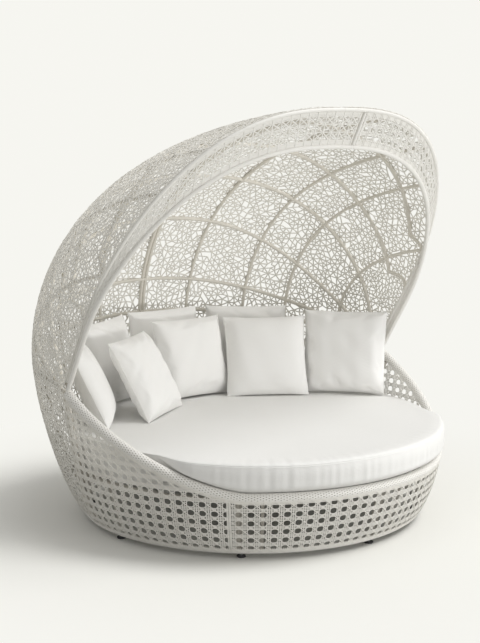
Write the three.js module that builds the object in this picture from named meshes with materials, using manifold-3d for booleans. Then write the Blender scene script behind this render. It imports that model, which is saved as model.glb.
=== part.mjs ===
// Outdoor daybed with canopy: a round woven base that flares like a bowl, a woven hood whose
// bows fan out from the two corners, a round mattress and eight loose pillows.
// Millimetres, +Z up, the open front faces -Y. Angles round the base start at the front and
// run towards +X; tilts of the hood's bows start at the front horizon.
import * as THREE from 'three';
import { mergeVertices } from 'three/addons/utils/BufferGeometryUtils.js';
import Module from 'manifold-3d';

const wasm = await Module();
wasm.setup();
const degree = Math.PI / 180;

// Driving dimensions of the woven bowl
const floorGap = 22;             // floor to the lower edge of the woven wall
const floorRadius = 838;         // outside of the wall at that edge
const cornerHeight = 689;        // height of the corners where rim and hood meet
const cornerRadius = 1003;       // the corners' distance from the axis of the bowl
const cornerAngle = 98 * degree; // and their angle from the front
const bowlShares = { even: 0.66, early: 0.34, earlyPower: 6 }; // how the wall flares
const frontRimHeight = 298;      // top rail at the front, to the middle of the rail
const rimLevelAngle = 38 * degree;
const rimShares = { ease: 0.12, power: 1.25 }; // how the rim eases into its climb

// Driving dimensions of the hood
const crestTilt = 58 * degree;   // plane of the front bow
const crestReach = 1512;         // corner line to the top of the front bow
const rearInset = 13.4;          // back of the hood inside the corners' circle, at their height
const hoodBulge = 33;            // widest half of the hood beyond that circle
const hoodHalfWidth = cornerRadius + hoodBulge;
const cornerSnap = 40;           // how close to the corners the hood draws in to the base
const crestSquareness = 2.6;
const rearSquareness = 2.0;
const rearFullness = 1.65;
const reachShares = { even: 0.42, late: 0.58, latePower: 5.5 };
const lipReach = 1322;           // corner line to the top of the visor's lip
const lipTrim = 50;              // corner line to the visor's ends
const lipForward = 34;           // lip ahead of the front bow's plane
const lipSquareness = 2.45;

// Stock sizes
const weaveThickness = 5;
const tubeRadius = 10;           // wrapped frame tube
const ribRadius = 8;              // square bar on edge, corner to middle
const floorTubeRadius = 11;
const rimTubeRadius = 21;
const lipTubeRadius = 11;
const touchGap = 0.3;            // between pieces that bear on each other
const weaveSeat = 0.5;           // between the weave and the edge of the tube it is tied to
const rimGap = 5;                // between the rim and the struts it is tied to
const postSeat = 3.5;            // between the weave and the corner posts
const hoodRailGap = 1.8;         // between the floor rails, which the seam bolts hold together
const halfSeam = 0.2;            // each hood half stands this far from the middle plane
const joinTolerance = 0.2;       // facets of a joined body that are merged

// Frame layout. Each bow has its tilt at the middle, the sweep it gains towards the corners
// and the power with which it gains it.
const bows = [
  { tilt: crestTilt, sweep: 0, power: 1 },
  { tilt: 73 * degree, sweep: -12 * degree, power: 1.2 },
  { tilt: 91.5 * degree, sweep: -26 * degree, power: 2.2 },
  { tilt: 111.5 * degree, sweep: -4 * degree, power: 1 },
  { tilt: 132 * degree, sweep: 20 * degree, power: 1.2 },
  { tilt: 156 * degree, sweep: 8 * degree, power: 1 },
  { tilt: 168 * degree, sweep: 3 * degree, power: 1 },
  { tilt: 180 * degree, sweep: 0, power: 1 },
];
const ribShares = [0.17, 0.385, 0.55, 0.78]; // of the quarter turn from middle to corner
const columnShares = [0, 0.085, 0.17, 0.28, 0.385, 0.465, 0.55, 0.665, 0.78, 0.89, 1];
const domeRowShares = [0, 0.4, 0.8, 1.2, 1.8, 2.2, 2.8, 3.2, 3.8, 4.2, 4.8, 5.2]; // in bows
const openingShares = [[0.14, 0.1], [0.86, 0.1], [0.86, 0.9], [0.14, 0.9]]; // of a facet
const openColumns = 8;
const skirtShares = [0.76, 0.5, 0.3, 0.14];  // of the height from floor rail to corners
const wallRowShares = [0, 0.14, 0.32, 0.6, 1]; // of the front wall's height
const shortBowEnds = { 1: 8, 2: 9 };         // bows that end on the front bow, and the column
const feetCount = 8;
const footTurn = -41 * degree;
const footPadRadius = 21;
const footPadHeight = 8;
const footStemRadius = 7;
const footThreadRadius = 5;
const threadClearance = 0.6;
const footTravel = 15;
const footBossRadius = 14;
const footBossSides = 6;
const footStemSides = 6;
const footPadSides = 8;
const deckRingInset = 63.7;      // woven wall to the middle of the deck ring
const deckTop = 300;
const slatThickness = 16;
const slatWidth = 92;
const slatCount = 9;
const slatEdgeShare = 0.8;       // of a slat's width, from the ring to the outer slat's middle
const uprightTurn = 2.8 * degree;   // middle of a pair of uprights from its foot
const uprightSpread = 3.5 * degree; // of each upright from the middle of its pair
const uprightFrontShare = 0.6;
const beamSpread = 420;
const wallSeamAngle = -44 * degree;
const wallColumnAngle = 6.2 * degree;
const rimEndLead = 1.6 * degree;    // end of the rim before the corner
const rimSteps = 38;
const postSteps = 8;
const stayDrop = 189;               // foot of each stay below the corners
const stayLead = 4.08 * degree;     // head of each stay before the end of the rim
const boltRadius = 4;
const boltHeadRadius = 6.5;
const boltHeadHeight = 5;
const boltHeightShares = [0.28, 0.55, 0.82];

// Cushions
const mattressSwell = 59.1;      // out over the front rim, from the rim's inside
const mattressFootInset = 16.4;
const mattressThickness = 158;
const mattressCrown = 9;
const mattressRimGap = 3;
const mattressSwellAngle = 40 * degree;
const mattressEaseAngle = 5 * degree;
const mattressSides = 44;
const pillowSizeShare = 0.4732;  // of the mattress's radius
const pillowPlumpShare = 1 / 3;  // thickness, of the pillow's size

const up = new THREE.Vector3(0, 0, 1);
const xAxis = new THREE.Vector3(1, 0, 0);
const step = 1e-4;

// Share of the bowl's flare that is reached at a share of its height.
function flare(rise) {
  return bowlShares.even * rise
    + bowlShares.early * (1 - Math.max(0, 1 - rise) ** bowlShares.earlyPower);
}

// Surface of the bowl in front of the corners, as a radius at a height.
function frontRadius(height) {
  const rise = Math.max(0, height - floorGap) / (cornerHeight - floorGap);
  return floorRadius + (cornerRadius - floorRadius) * flare(rise);
}

function onCircle(radius, angle, height) {
  return new THREE.Vector3(radius * Math.sin(angle), -radius * Math.cos(angle), height);
}

function rimHeight(angle) {
  const share = Math.max(0, (Math.abs(angle) - rimLevelAngle) / (cornerAngle - rimLevelAngle));
  const rise = share ** 2 / (share + rimShares.ease) * (1 + rimShares.ease);
  return frontRimHeight + (cornerHeight - frontRimHeight) * rise ** rimShares.power;
}

// Surface of the hood. tilt picks the plane through the corner line, side runs from -1 at the
// left corner over 0 in the middle to 1 at the right corner.
const cornerSetback = -cornerRadius * Math.cos(cornerAngle);
const cornerSpread = cornerRadius * Math.sin(cornerAngle);
const rearReach = cornerRadius - rearInset - cornerSetback; // corner line to the back of the hood

function tiltShare(tilt) {
  return (Math.PI - tilt) / (Math.PI - crestTilt);
}

function archPoint(side, tilt, reach, halfWidth, squareness, trim) {
  const start = Math.asin((trim / reach) ** (squareness / 2));
  const turn = (Math.PI / 2 - start) * side;
  const along = Math.sin(turn);
  const out = Math.cos(turn) ** (2 / squareness) * reach;
  const drawIn = (hoodHalfWidth - cornerSpread) * Math.abs(along) ** cornerSnap;
  return new THREE.Vector3(
    Math.sign(along) * (halfWidth * Math.abs(along) ** (2 / squareness) - drawIn),
    cornerSetback - out * Math.cos(tilt), cornerHeight + out * Math.sin(tilt));
}

function hoodPoint(side, tilt, trim) {
  const share = tiltShare(tilt);
  const reach = rearReach + (crestReach - rearReach)
    * (reachShares.even * share + reachShares.late * Math.abs(share) ** reachShares.latePower);
  const squareness = rearSquareness + (crestSquareness - rearSquareness) * share;
  return archPoint(side, tilt, reach, hoodHalfWidth, squareness, trim);
}

// Tilt of a row of the hood, counted in bows, at a place along it.
function rowTilt(row, side) {
  const tiltOf = (bow) => bow.tilt + bow.sweep * (1 - Math.cos(side * Math.PI / 2)) ** bow.power;
  const low = THREE.MathUtils.clamp(Math.floor(row), 0, bows.length - 2);
  return THREE.MathUtils.lerp(tiltOf(bows[low]), tiltOf(bows[low + 1]), row - low);
}

function skirtPoint(side, share, trim) {
  const top = hoodPoint(side, Math.PI, trim);
  const angle = Math.atan2(top.x, -top.y);
  const foot = onCircle(floorRadius, angle, floorGap);
  const out = THREE.MathUtils.lerp(1 - (1 - share) ** rearFullness, flare(share),
    Math.abs(side) ** 3);
  return new THREE.Vector3(foot.x + (top.x - foot.x) * out, foot.y + (top.y - foot.y) * out,
    floorGap + (cornerHeight - floorGap) * share);
}

// The whole shell: rows 0 to 7 are the bows, and row 7 to 8 is the skirt down to the floor.
const hingeRow = bows.length - 1;
const rearRow = hingeRow - 1;
const weaveTrim = 8;
const tubeTrim = 20;
const domeStops = [...domeRowShares, rearRow];

function shellPoint(row, side, trim) {
  if (row > hingeRow) return skirtPoint(side, 1 - (row - hingeRow), trim);
  return hoodPoint(side, rowTilt(row, side), trim);
}

function shellNormal(row, side, trim) {
  const away = row >= hingeRow ? step : -step;
  const here = shellPoint(row, side, trim);
  const across = shellPoint(row, side + step, trim).sub(shellPoint(row, side - step, trim));
  const along = shellPoint(row + away, side, trim).sub(here).multiplyScalar(-Math.sign(away));
  return along.cross(across).normalize();
}

function shellInside(row, side, depth, trim = weaveTrim) {
  return shellPoint(row, side, trim).addScaledVector(shellNormal(row, side, trim), -depth);
}

// A place on the faceted inner face of the dome, straight between the rows of its facets.
function facetInside(row, side, depth, trim) {
  const high = domeStops.find((stop) => stop >= row) ?? row;
  if (row > rearRow || high === row) return shellInside(row, side, depth, trim);
  const low = domeStops[domeStops.indexOf(high) - 1];
  return shellInside(low, side, depth, trim)
    .lerp(shellInside(high, side, depth, trim), (row - low) / (high - low));
}

// Helpers for closed bodies. Each facet of a skin is split along the diagonal that bulges out.
// Where a facet is open, a frame of its weave stays round the opening.
function bodyFrom(rows, wall, isOpen = () => false) {
  const across = rows[0].length;
  const points = [...rows.flat(), ...wall.flat()];
  const offset = rows.length * across;
  const triangles = [];
  const quad = (a, b, c, d) => triangles.push(a, b, c, a, c, d);
  const skin = (a, b, c, d, out) => {
    const ridge = points[a].clone().add(points[c]).sub(points[b]).sub(points[d]);
    return ridge.dot(out) > 0 ? quad(a, b, c, d) : quad(b, c, d, a);
  };
  const opening = (corners) => openingShares.map(([u, v]) => {
    const [a, b, c, d] = corners.map((corner) => points[corner]);
    points.push(a.clone().lerp(b, u).lerp(d.clone().lerp(c, u), v));
    return points.length - 1;
  });
  const frame = (outer, inner, out) => outer.forEach((corner, k) => {
    const next = (k + 1) % outer.length;
    skin(corner, outer[next], inner[next], inner[k], out);
  });
  for (let i = 0; i + 1 < rows.length; i += 1) {
    for (let j = 0; j + 1 < across; j += 1) {
      const a = i * across + j;
      const face = [a, a + 1, a + across + 1, a + across];
      const back = face.map((corner) => corner + offset);
      const out = points[a].clone().sub(points[a + offset]);
      if (isOpen(i, j)) {
        const [front, rear] = [opening(face), opening(back)];
        frame(face, front, out);
        frame([...back].reverse(), [...rear].reverse(), out);
        front.forEach((corner, k) => {
          const next = (k + 1) % front.length;
          quad(corner, front[next], rear[next], rear[k]);
        });
      } else {
        skin(...face, out);
        skin(...[...back].reverse(), out);
      }
    }
  }
  const border = [];
  for (let j = 0; j + 1 < across; j += 1) border.push(j);
  for (let i = 0; i + 1 < rows.length; i += 1) border.push(i * across + across - 1);
  for (let j = across - 1; j > 0; j -= 1) border.push((rows.length - 1) * across + j);
  for (let i = rows.length - 1; i > 0; i -= 1) border.push(i * across);
  border.forEach((from, k) => {
    const to = border[(k + 1) % border.length];
    quad(from, offset + from, offset + to, to);
  });
  return outward(meshOf(points, triangles));
}

function meshOf(points, triangles) {
  const geometry = new THREE.BufferGeometry();
  geometry.setAttribute('position',
    new THREE.Float32BufferAttribute(points.flatMap((point) => point.toArray()), 3));
  geometry.setIndex(triangles);
  return geometry;
}

function volumeOf(geometry) {
  const at = geometry.getAttribute('position');
  const index = geometry.getIndex();
  const corner = [0, 1, 2].map(() => new THREE.Vector3());
  let volume = 0;
  for (let i = 0; i < index.count; i += 3) {
    corner.forEach((point, k) => point.fromBufferAttribute(at, index.getX(i + k)));
    volume += corner[0].dot(corner[1].clone().cross(corner[2]));
  }
  return volume;
}

function flipped(geometry) {
  const order = geometry.getIndex().array.slice();
  for (let i = 0; i < order.length; i += 3) [order[i], order[i + 1]] = [order[i + 1], order[i]];
  return geometry.setIndex([...order]);
}

function outward(geometry) {
  return volumeOf(geometry) < 0 ? flipped(geometry) : geometry;
}

function bare(geometry) {
  const copy = geometry.clone();
  ['normal', 'uv'].forEach((name) => copy.deleteAttribute(name));
  return outward(mergeVertices(copy, weaveSeat / 1000));
}

function mirrored(geometry) {
  return flipped(bare(geometry).scale(-1, 1, 1));
}

function solidOf(geometry) {
  const merged = bare(geometry);
  return new wasm.Manifold(new wasm.Mesh({
    numProp: 3,
    vertProperties: new Float32Array(merged.getAttribute('position').array),
    triVerts: new Uint32Array(merged.getIndex().array),
  }));
}

function geometryOf(solid) {
  const mesh = solid.getMesh();
  const geometry = new THREE.BufferGeometry();
  geometry.setAttribute('position', new THREE.Float32BufferAttribute(mesh.vertProperties, 3));
  geometry.setIndex([...mesh.triVerts]);
  return geometry;
}

function joined(geometries, cuts = []) {
  let solid = geometries.map(solidOf).reduce((sum, next) => sum.add(next));
  cuts.forEach((cut) => { solid = solid.subtract(solidOf(cut)); });
  return geometryOf(solid.asOriginal().simplify(joinTolerance));
}

// A rail path: an extrude path that keeps its own points, with an edge of the section turned
// towards the given side of the rail.
class RailPath extends THREE.Curve {
  constructor(points, sides, tangents, closed = false) {
    super();
    Object.assign(this, { points, sides, tangents, closed });
  }

  getPoint(t) {
    const place = t * (this.points.length - 1);
    const low = Math.min(Math.floor(place), this.points.length - 2);
    return this.points[low].clone().lerp(this.points[low + 1], place - low);
  }

  getSpacedPoints() { return this.points; }

  computeFrenetFrames() {
    const tangents = this.tangents ?? this.points.map((_, i) => {
      const last = this.points.length - 1;
      const before = i === 0 ? (this.closed ? last - 1 : 0) : i - 1;
      const after = i === last ? (this.closed ? 1 : last) : i + 1;
      return this.points[after].clone().sub(this.points[before]).normalize();
    });
    const normals = this.sides.map((side, i) => side.clone()
      .addScaledVector(tangents[i], -side.dot(tangents[i])).normalize());
    const binormals = tangents.map((tangent, i) => tangent.clone().cross(normals[i]));
    return { tangents, normals, binormals };
  }
}

function section(radius, sides) {
  const corners = Array.from({ length: sides }, (_, i) => {
    const turn = i / sides * 2 * Math.PI;
    return new THREE.Vector2(radius * Math.cos(turn), radius * Math.sin(turn));
  });
  return new THREE.Shape(corners);
}

function rail(points, sides, radius, { tangents, corners = 6 } = {}) {
  const path = new RailPath(points, sides, tangents);
  return bare(new THREE.ExtrudeGeometry(section(radius, corners),
    { steps: points.length - 1, extrudePath: path }));
}

function bar(from, to, radius, sides = 6) {
  const along = to.clone().sub(from);
  const across = Math.abs(along.x) < Math.abs(along.y) ? xAxis : new THREE.Vector3(0, 1, 0);
  return rail([from, to], [across, across], radius, { corners: sides });
}

// A ring of tube about the bowl's axis, as one revolved profile.
function ring(centreRadius, height, radius, around = 36, sides = 6) {
  const profile = Array.from({ length: sides + 1 }, (_, i) => {
    const turn = (i % sides + 0.5) / sides * 2 * Math.PI;
    return new THREE.Vector2(centreRadius + radius * Math.cos(turn), radius * Math.sin(turn));
  });
  return new THREE.LatheGeometry(profile, around).rotateX(Math.PI / 2).translate(0, 0, height);
}

function disc(radius, height, sides = 12) {
  return new THREE.CylinderGeometry(radius, radius, height, sides).rotateX(Math.PI / 2);
}

// Base
const floorRailHeight = floorGap + floorTubeRadius;
const floorRailRadius = floorRadius - floorTubeRadius;
const deckRailHeight = deckTop - slatThickness - touchGap - floorTubeRadius;
const deckRingRadius = frontRadius(deckRailHeight) - deckRingInset;
const seamClear = tubeRadius + touchGap;
const footRingRadius = floorRailRadius - 2 * floorTubeRadius;

function rimCentre(angle) {
  const height = rimHeight(angle);
  return onCircle(frontRadius(height) - rimTubeRadius, angle, height);
}

const rimEndAngle = cornerAngle - rimEndLead;

function rimAngles() {
  return Array.from({ length: rimSteps + 1 }, (_, i) => (2 * i / rimSteps - 1) * rimEndAngle);
}

function baseRim() {
  const angles = rimAngles();
  const points = angles.map(rimCentre);
  const sides = angles.map((angle) => onCircle(1, angle, 0));
  return rail(points, sides, rimTubeRadius, { corners: 8 });
}

// The wall runs up outside the lower half of the rim, to this share of the rim's radius.
const rimSeatShare = 0.9;

function baseWall(from, to) {
  const count = Math.round((to - from) / wallColumnAngle);
  const bottom = floorRailHeight + floorTubeRadius + touchGap;
  const rows = wallRowShares.map((share) => (
    Array.from({ length: count + 1 }, (_, i) => {
      const angle = from + (to - from) * i / count;
      const slope = (rimHeight(angle + step) - rimHeight(angle - step))
        / (2 * step * cornerRadius);
      const top = rimHeight(angle)
        - (rimTubeRadius * rimSeatShare + weaveSeat) * Math.hypot(1, slope);
      const height = bottom + (top - bottom) * share;
      return onCircle(frontRadius(height), angle, height);
    })));
  const inner = rows.map((row) => row.map((point) => {
    const radius = Math.hypot(point.x, point.y);
    return new THREE.Vector3(point.x, point.y, 0)
      .multiplyScalar((radius - weaveThickness) / radius).setZ(point.z);
  }));
  return bodyFrom(rows, inner);
}

function cornerPost(side, angle, top) {
  const low = floorRailHeight;
  const heights = Array.from({ length: postSteps + 1 },
    (_, i) => low + (top - low) * i / postSteps);
  const points = heights.map((height) => postPoint(side * angle, height));
  return rail(points, points.map(() => onCircle(1, side * angle, 0)), tubeRadius);
}

// A point of a corner post, which stands inside the weave.
function postPoint(angle, height) {
  return onCircle(frontRadius(height) - bowDepth(tubeRadius) - postSeat, angle, height);
}

const seamHalfAngle = Math.asin(seamClear / floorRadius);
const basePostAngle = cornerAngle - seamHalfAngle;
const hoodPostAngle = cornerAngle + seamHalfAngle;

function footAngles() {
  return Array.from({ length: feetCount }, (_, i) => footTurn + i * 2 * Math.PI / feetCount);
}

// A post from each foot's boss up to the deck ring.
function deckPosts() {
  return footAngles().map((angle) => bar(
    onCircle(footRingRadius, angle, floorRailHeight + footBossRadius),
    onCircle(deckRingRadius, angle, deckRailHeight), tubeRadius, 4));
}

function footBosses() {
  const centre = floorRailHeight + footBossRadius / 2;
  return footAngles().map((angle) => disc(footBossRadius, 2 * floorTubeRadius + footBossRadius,
    footBossSides).translate(...onCircle(footRingRadius, angle, centre).toArray()));
}

function footBores() {
  const sides = footBossSides;
  const radius = (footThreadRadius + threadClearance) / Math.cos(Math.PI / sides);
  const depth = footThreadLength() + threadClearance + footTravel / 5;
  return footAngles().map((angle) => disc(radius, 2 * depth, sides)
    .translate(...onCircle(footRingRadius, angle, floorGap).toArray()));
}

function deckBeams() {
  return [-1, 1].map((side) => {
    const x = side * beamSpread;
    const reach = Math.sqrt(deckRingRadius ** 2 - x ** 2);
    return bar(new THREE.Vector3(x, -reach, deckRailHeight),
      new THREE.Vector3(x, reach, deckRailHeight), floorTubeRadius, 4);
  });
}

// The corner posts, each with a tie to the deck ring.
function basePosts() {
  const top = cornerHeight - 2 * rimTubeRadius;
  return [-1, 1].flatMap((side) => [
    cornerPost(side, basePostAngle, top),
    bar(onCircle(deckRingRadius, side * basePostAngle, deckRailHeight),
      postPoint(side * basePostAngle, deckRailHeight), tubeRadius),
  ]);
}

// A strut from a low point up to the underside of the rim.
function rimStrut(low, angle) {
  const high = rimCentre(angle).sub(low);
  const length = high.length() - rimTubeRadius - rimGap;
  return bar(low, low.clone().addScaledVector(high.normalize(), length), tubeRadius, 4);
}

// Uprights in pairs by the front feet, from the floor ring to the rim, and a stay from each
// corner post to the end of the rim.
function rimStruts() {
  const feet = footAngles().filter((angle) => Math.cos(angle) > uprightFrontShare);
  const front = feet.flatMap((foot) => [-1, 1].map((hand) => {
    const angle = foot + uprightTurn + hand * uprightSpread;
    return rimStrut(onCircle(floorRailRadius, angle, floorRailHeight), angle);
  }));
  const stay = [-1, 1].map((side) => rimStrut(
    postPoint(side * basePostAngle, cornerHeight - stayDrop),
    side * (rimEndAngle - stayLead)));
  return [...front, ...stay];
}

function baseFrame() {
  const rings = [
    ring(floorRailRadius, floorRailHeight, floorTubeRadius),
    ring(deckRingRadius, deckRailHeight, floorTubeRadius),
  ];
  return joined([...rings, ...deckPosts(), ...footBosses(), ...deckBeams(), ...basePosts(),
    ...rimStruts()], [...footBores(), ...seamBores()]);
}

// Each glide: a threaded stem in the boss, a short bright collar and a pad on the floor.
function footThreadLength() {
  return floorTubeRadius + footBossRadius;
}

function footStem(angle) {
  const low = footPadHeight + touchGap;
  const shoulder = floorGap - touchGap;
  const tip = floorGap + footThreadLength();
  const profile = [[0, low], [footStemRadius, low], [footStemRadius, shoulder],
    [footThreadRadius, shoulder], [footThreadRadius, tip], [0, tip]];
  return new THREE.LatheGeometry(profile.map(([r, z]) => new THREE.Vector2(r, z)), footStemSides)
    .rotateX(Math.PI / 2).translate(...onCircle(footRingRadius, angle, 0).toArray());
}

function footPad(angle) {
  const edge = footPadHeight / 4;
  const profile = [[0, 0], [footPadRadius - edge, 0], [footPadRadius, edge],
    [footPadRadius, footPadHeight], [0, footPadHeight]];
  return new THREE.LatheGeometry(profile.map(([r, z]) => new THREE.Vector2(r, z)), footPadSides)
    .rotateX(Math.PI / 2).translate(...onCircle(footRingRadius, angle, 0).toArray());
}

function slatPlaces() {
  const pitch = 2 * (deckRingRadius - slatWidth * slatEdgeShare) / slatCount;
  return Array.from({ length: slatCount }, (_, i) => (i - (slatCount - 1) / 2) * pitch);
}

function deckSlat(y) {
  const edge = Math.abs(y) + slatWidth / 2;
  const length = 2 * Math.sqrt(deckRingRadius ** 2 - edge ** 2) + floorTubeRadius;
  return new THREE.BoxGeometry(length, slatWidth, slatThickness)
    .translate(0, y, deckTop - slatThickness / 2);
}

// Hood
function bowDepth(radius) {
  return weaveThickness + weaveSeat + radius;
}

// A tube of the hood along a run of (row, side) places on the shell.
function shellTube(places, radius, { ends = {}, seat = 0, corners = 5 } = {}) {
  const depth = bowDepth(radius) + seat;
  const points = places.map(([row, side, trim = weaveTrim]) => facetInside(row, side, depth,
    trim));
  if (ends.middle) points[points.length - 1].x = ends.middle;
  const sides = places.map(([row, side, trim = weaveTrim]) => shellNormal(row, side, trim));
  const tangents = points.map((point, i) => {
    const before = points[Math.max(i - 1, 0)];
    const after = points[Math.min(i + 1, points.length - 1)];
    return after.clone().sub(before).normalize();
  });
  if (ends.middle) tangents[points.length - 1] = xAxis.clone();
  return rail(points, sides, radius, { tangents, corners });
}

const middleRibInset = tubeRadius * Math.cos(Math.PI / 6);

// Bows of the left half, from the corner plate to the middle rib.
function halfBow(row) {
  const last = columnShares.length - 1;
  const end = shortBowEnds[row] ?? last;
  const places = [];
  if (shortBowEnds[row]) places.push([0, -columnShares[end]]);
  else places.push([row, -1, tubeTrim]);
  const first = shortBowEnds[row] ? end - 1 : last - 1;
  for (let k = first; k >= 0; k -= 1) places.push([row, -columnShares[k]]);
  return shellTube(places, tubeRadius, { ends: { middle: -middleRibInset } });
}

function ribPlaces(side) {
  const dome = [...domeStops, hingeRow].map((row) => [row, side]);
  const skirt = skirtShares.map((share) => [hingeRow + 1 - share, side]);
  return [...dome, ...skirt, [hingeRow + 1 - railShare(), side]];
}

// The hood's floor rail rests on the outer shoulder of the base's floor ring, flat to flat.
const hoodRailRadius = floorRailRadius + tubeRadius;
const hoodRailHeight = floorRailHeight + (floorTubeRadius + tubeRadius)
  + (hoodRailGap - tubeRadius * Math.cos(Math.PI / 3)) / Math.sin(Math.PI / 3);

function railShare() {
  return (hoodRailHeight - floorGap) / (cornerHeight - floorGap);
}

// The middle rib of each half starts just behind the front bow's axis.
const middleRibStart = 0.03;

function middleRib() {
  const shift = xAxis.clone().multiplyScalar(-middleRibInset);
  const places = [[middleRibStart, 0], ...ribPlaces(0).slice(1)];
  return shellTube(places, tubeRadius, { seat: weaveSeat, corners: 6 })
    .translate(...shift.toArray());
}

function hoodFloorRail() {
  const points = [...columnShares].reverse().map((share) => {
    const point = shellPoint(hingeRow + 1 - railShare(), -share, weaveTrim);
    const angle = share === 1 ? -hoodPostAngle : Math.atan2(point.x, -point.y);
    return onCircle(hoodRailRadius, angle, hoodRailHeight);
  });
  points[points.length - 1].setX(-middleRibInset);
  const { tangents } = new RailPath(points, points).computeFrenetFrames();
  tangents[points.length - 1] = xAxis.clone();
  return rail(points, points.map(() => up), tubeRadius, { tangents });
}

// The plate in each corner that the bows are welded to.
const cornerPlateRadius = tubeTrim + tubeRadius / 2;

function cornerPlate() {
  return disc(cornerPlateRadius, tubeRadius, 10).rotateY(Math.PI / 2)
    .translate(-cornerSpread + bowDepth(tubeRadius), cornerSetback, cornerHeight);
}

function hoodPost() {
  const points = Array.from({ length: postSteps }, (_, i) => {
    const height = hoodRailHeight + (cornerHeight - hoodRailHeight) * i / postSteps;
    return postPoint(-hoodPostAngle, height);
  });
  points.push(new THREE.Vector3(-cornerSpread + bowDepth(tubeRadius), cornerSetback,
    cornerHeight));
  return rail(points, points.map(() => onCircle(1, -hoodPostAngle, 0)), tubeRadius);
}

function hoodFrameHalf() {
  const parts = bows.slice(0, hingeRow).map((_, row) => halfBow(row));
  const seat = tubeRadius - ribRadius;
  ribShares.forEach((share) => parts.push(shellTube(ribPlaces(-share), ribRadius,
    { seat, corners: 4 })));
  parts.push(middleRib(), hoodFloorRail(), cornerPlate(), hoodPost());
  return joined(parts, seamBores());
}

// A half of the woven skin between rows. Plain openings stand for the many small ones of the
// weave, from the front bow down to the deck. It is closed over each bow and near the corners.
const lastOpenRow = hingeRow + 1 - skirtShares[1];

function weaveHalf(stops) {
  const outer = stops.map((row) => columnShares.map((share) => shellPoint(row, -share,
    weaveTrim)));
  const inner = stops.map((row) => columnShares.map((share) => shellInside(row, -share,
    weaveThickness)));
  return bodyFrom(outer, inner, (i, j) => {
    const [from, to] = [stops[i], stops[i + 1]];
    const overBow = Math.floor(from) + 1 < to;
    return j < openColumns && to <= lastOpenRow && !overBow;
  });
}

const weaveSplit = 0.004;

function domeWeaveHalf() {
  return weaveHalf([...domeRowShares, rearRow - weaveSplit]);
}

function backWeaveHalf() {
  const low = (hoodRailHeight + tubeRadius + touchGap - floorGap) / (cornerHeight - floorGap);
  const skirt = skirtShares.map((share) => hingeRow + 1 - share);
  return weaveHalf([rearRow + weaveSplit, hingeRow, ...skirt, hingeRow + 1 - low]);
}

// Visor: a lip rail ahead of the front bow, with a woven band between them.
const lipPlane = new THREE.Vector3(0, -Math.sin(crestTilt), -Math.cos(crestTilt));

// The visor ends where the front bow has run out to the visor's trim.
const visorEndShare = 0.92;      // of the bow's last stretch
const visorEnd = THREE.MathUtils.lerp(columnShares.at(-2), 1, visorEndShare);

function lipPoint(side) {
  return archPoint(side / visorEnd, crestTilt, lipReach, hoodHalfWidth - lipTubeRadius,
    lipSquareness, lipTrim).addScaledVector(lipPlane, lipForward);
}

// A place on the front bow, straight between its bends.
function crestPoint(side) {
  const share = Math.abs(side);
  const k = Math.max(1, columnShares.findIndex((column) => column >= share));
  const [low, high] = [columnShares[k - 1], columnShares[k]];
  const bend = (column) => shellInside(0, -column, bowDepth(tubeRadius),
    column === 1 ? tubeTrim : weaveTrim);
  const point = bend(low).lerp(bend(high), (share - low) / (high - low));
  return point.setX(-Math.sign(side) * point.x);
}

const visorJoint = 0.045;
const visorStopGap = 0.02;

function visorSides(from, to) {
  const all = [...columnShares.map((share) => -share), ...columnShares.slice(1)];
  const between = all.filter((side) => side > from + visorStopGap
    && side < to - visorStopGap);
  return [from, ...between, to].sort((a, b) => a - b);
}

function visorLip(from, to) {
  const sides = visorSides(from, to);
  const points = sides.map(lipPoint);
  const facing = sides.map((side) => lipPoint(side).sub(crestPoint(side)).normalize());
  return rail(points, facing, lipTubeRadius);
}

// The visor's band at one place, from the front bow down to the lip, clear of both tubes.
function visorBand(side, seat) {
  const high = crestPoint(side);
  const low = lipPoint(side);
  const down = low.clone().sub(high).normalize();
  const lipRun = lipPoint(side + step).sub(lipPoint(side - step)).normalize();
  const bowRun = crestPoint(side + step).sub(crestPoint(side - step)).normalize();
  const reach = (run, radius) => (radius + seat) / Math.sqrt(1 - down.dot(run) ** 2);
  high.addScaledVector(down, reach(bowRun, tubeRadius));
  low.addScaledVector(down, -reach(lipRun, lipTubeRadius));
  return { high, low, out: lipRun.cross(down).normalize() };
}

function visorWeave(from, to) {
  const bands = visorSides(from, to).map((side) => visorBand(side, 4 * weaveSeat));
  const skin = (hand) => bands.map(({ high, low, out }) => [high, low].map((point) => point
    .clone().addScaledVector(out, hand * weaveThickness / 2)));
  return bodyFrom(skin(1), skin(-1));
}

const jointWrapRadius = 8;

function visorJointWrap() {
  const { high, low } = visorBand(visorJoint, 1.4 * weaveSeat);
  return bar(high, low, jointWrapRadius, 8);
}

// Bolts through the seam between the base's corner posts and the hood's.
function seamPlace(side, share) {
  const height = floorRailHeight + (cornerHeight - floorRailHeight) * share;
  const along = onCircle(1, side * cornerAngle + Math.PI / 2, 0);
  const turn = new THREE.Quaternion().setFromUnitVectors(up, along);
  const at = postPoint(side * cornerAngle, height);
  const half = at.distanceTo(postPoint(side * hoodPostAngle, height))
    + tubeRadius * Math.cos(Math.PI / 6) + touchGap;
  return { at, turn, half };
}

function seamBores() {
  return [-1, 1].flatMap((side) => boltHeightShares.map((share) => {
    const { at, turn, half } = seamPlace(side, share);
    return disc(boltRadius + touchGap * 2, 2 * half + boltHeadHeight, 8)
      .applyQuaternion(turn).translate(...at.toArray());
  }));
}

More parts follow.
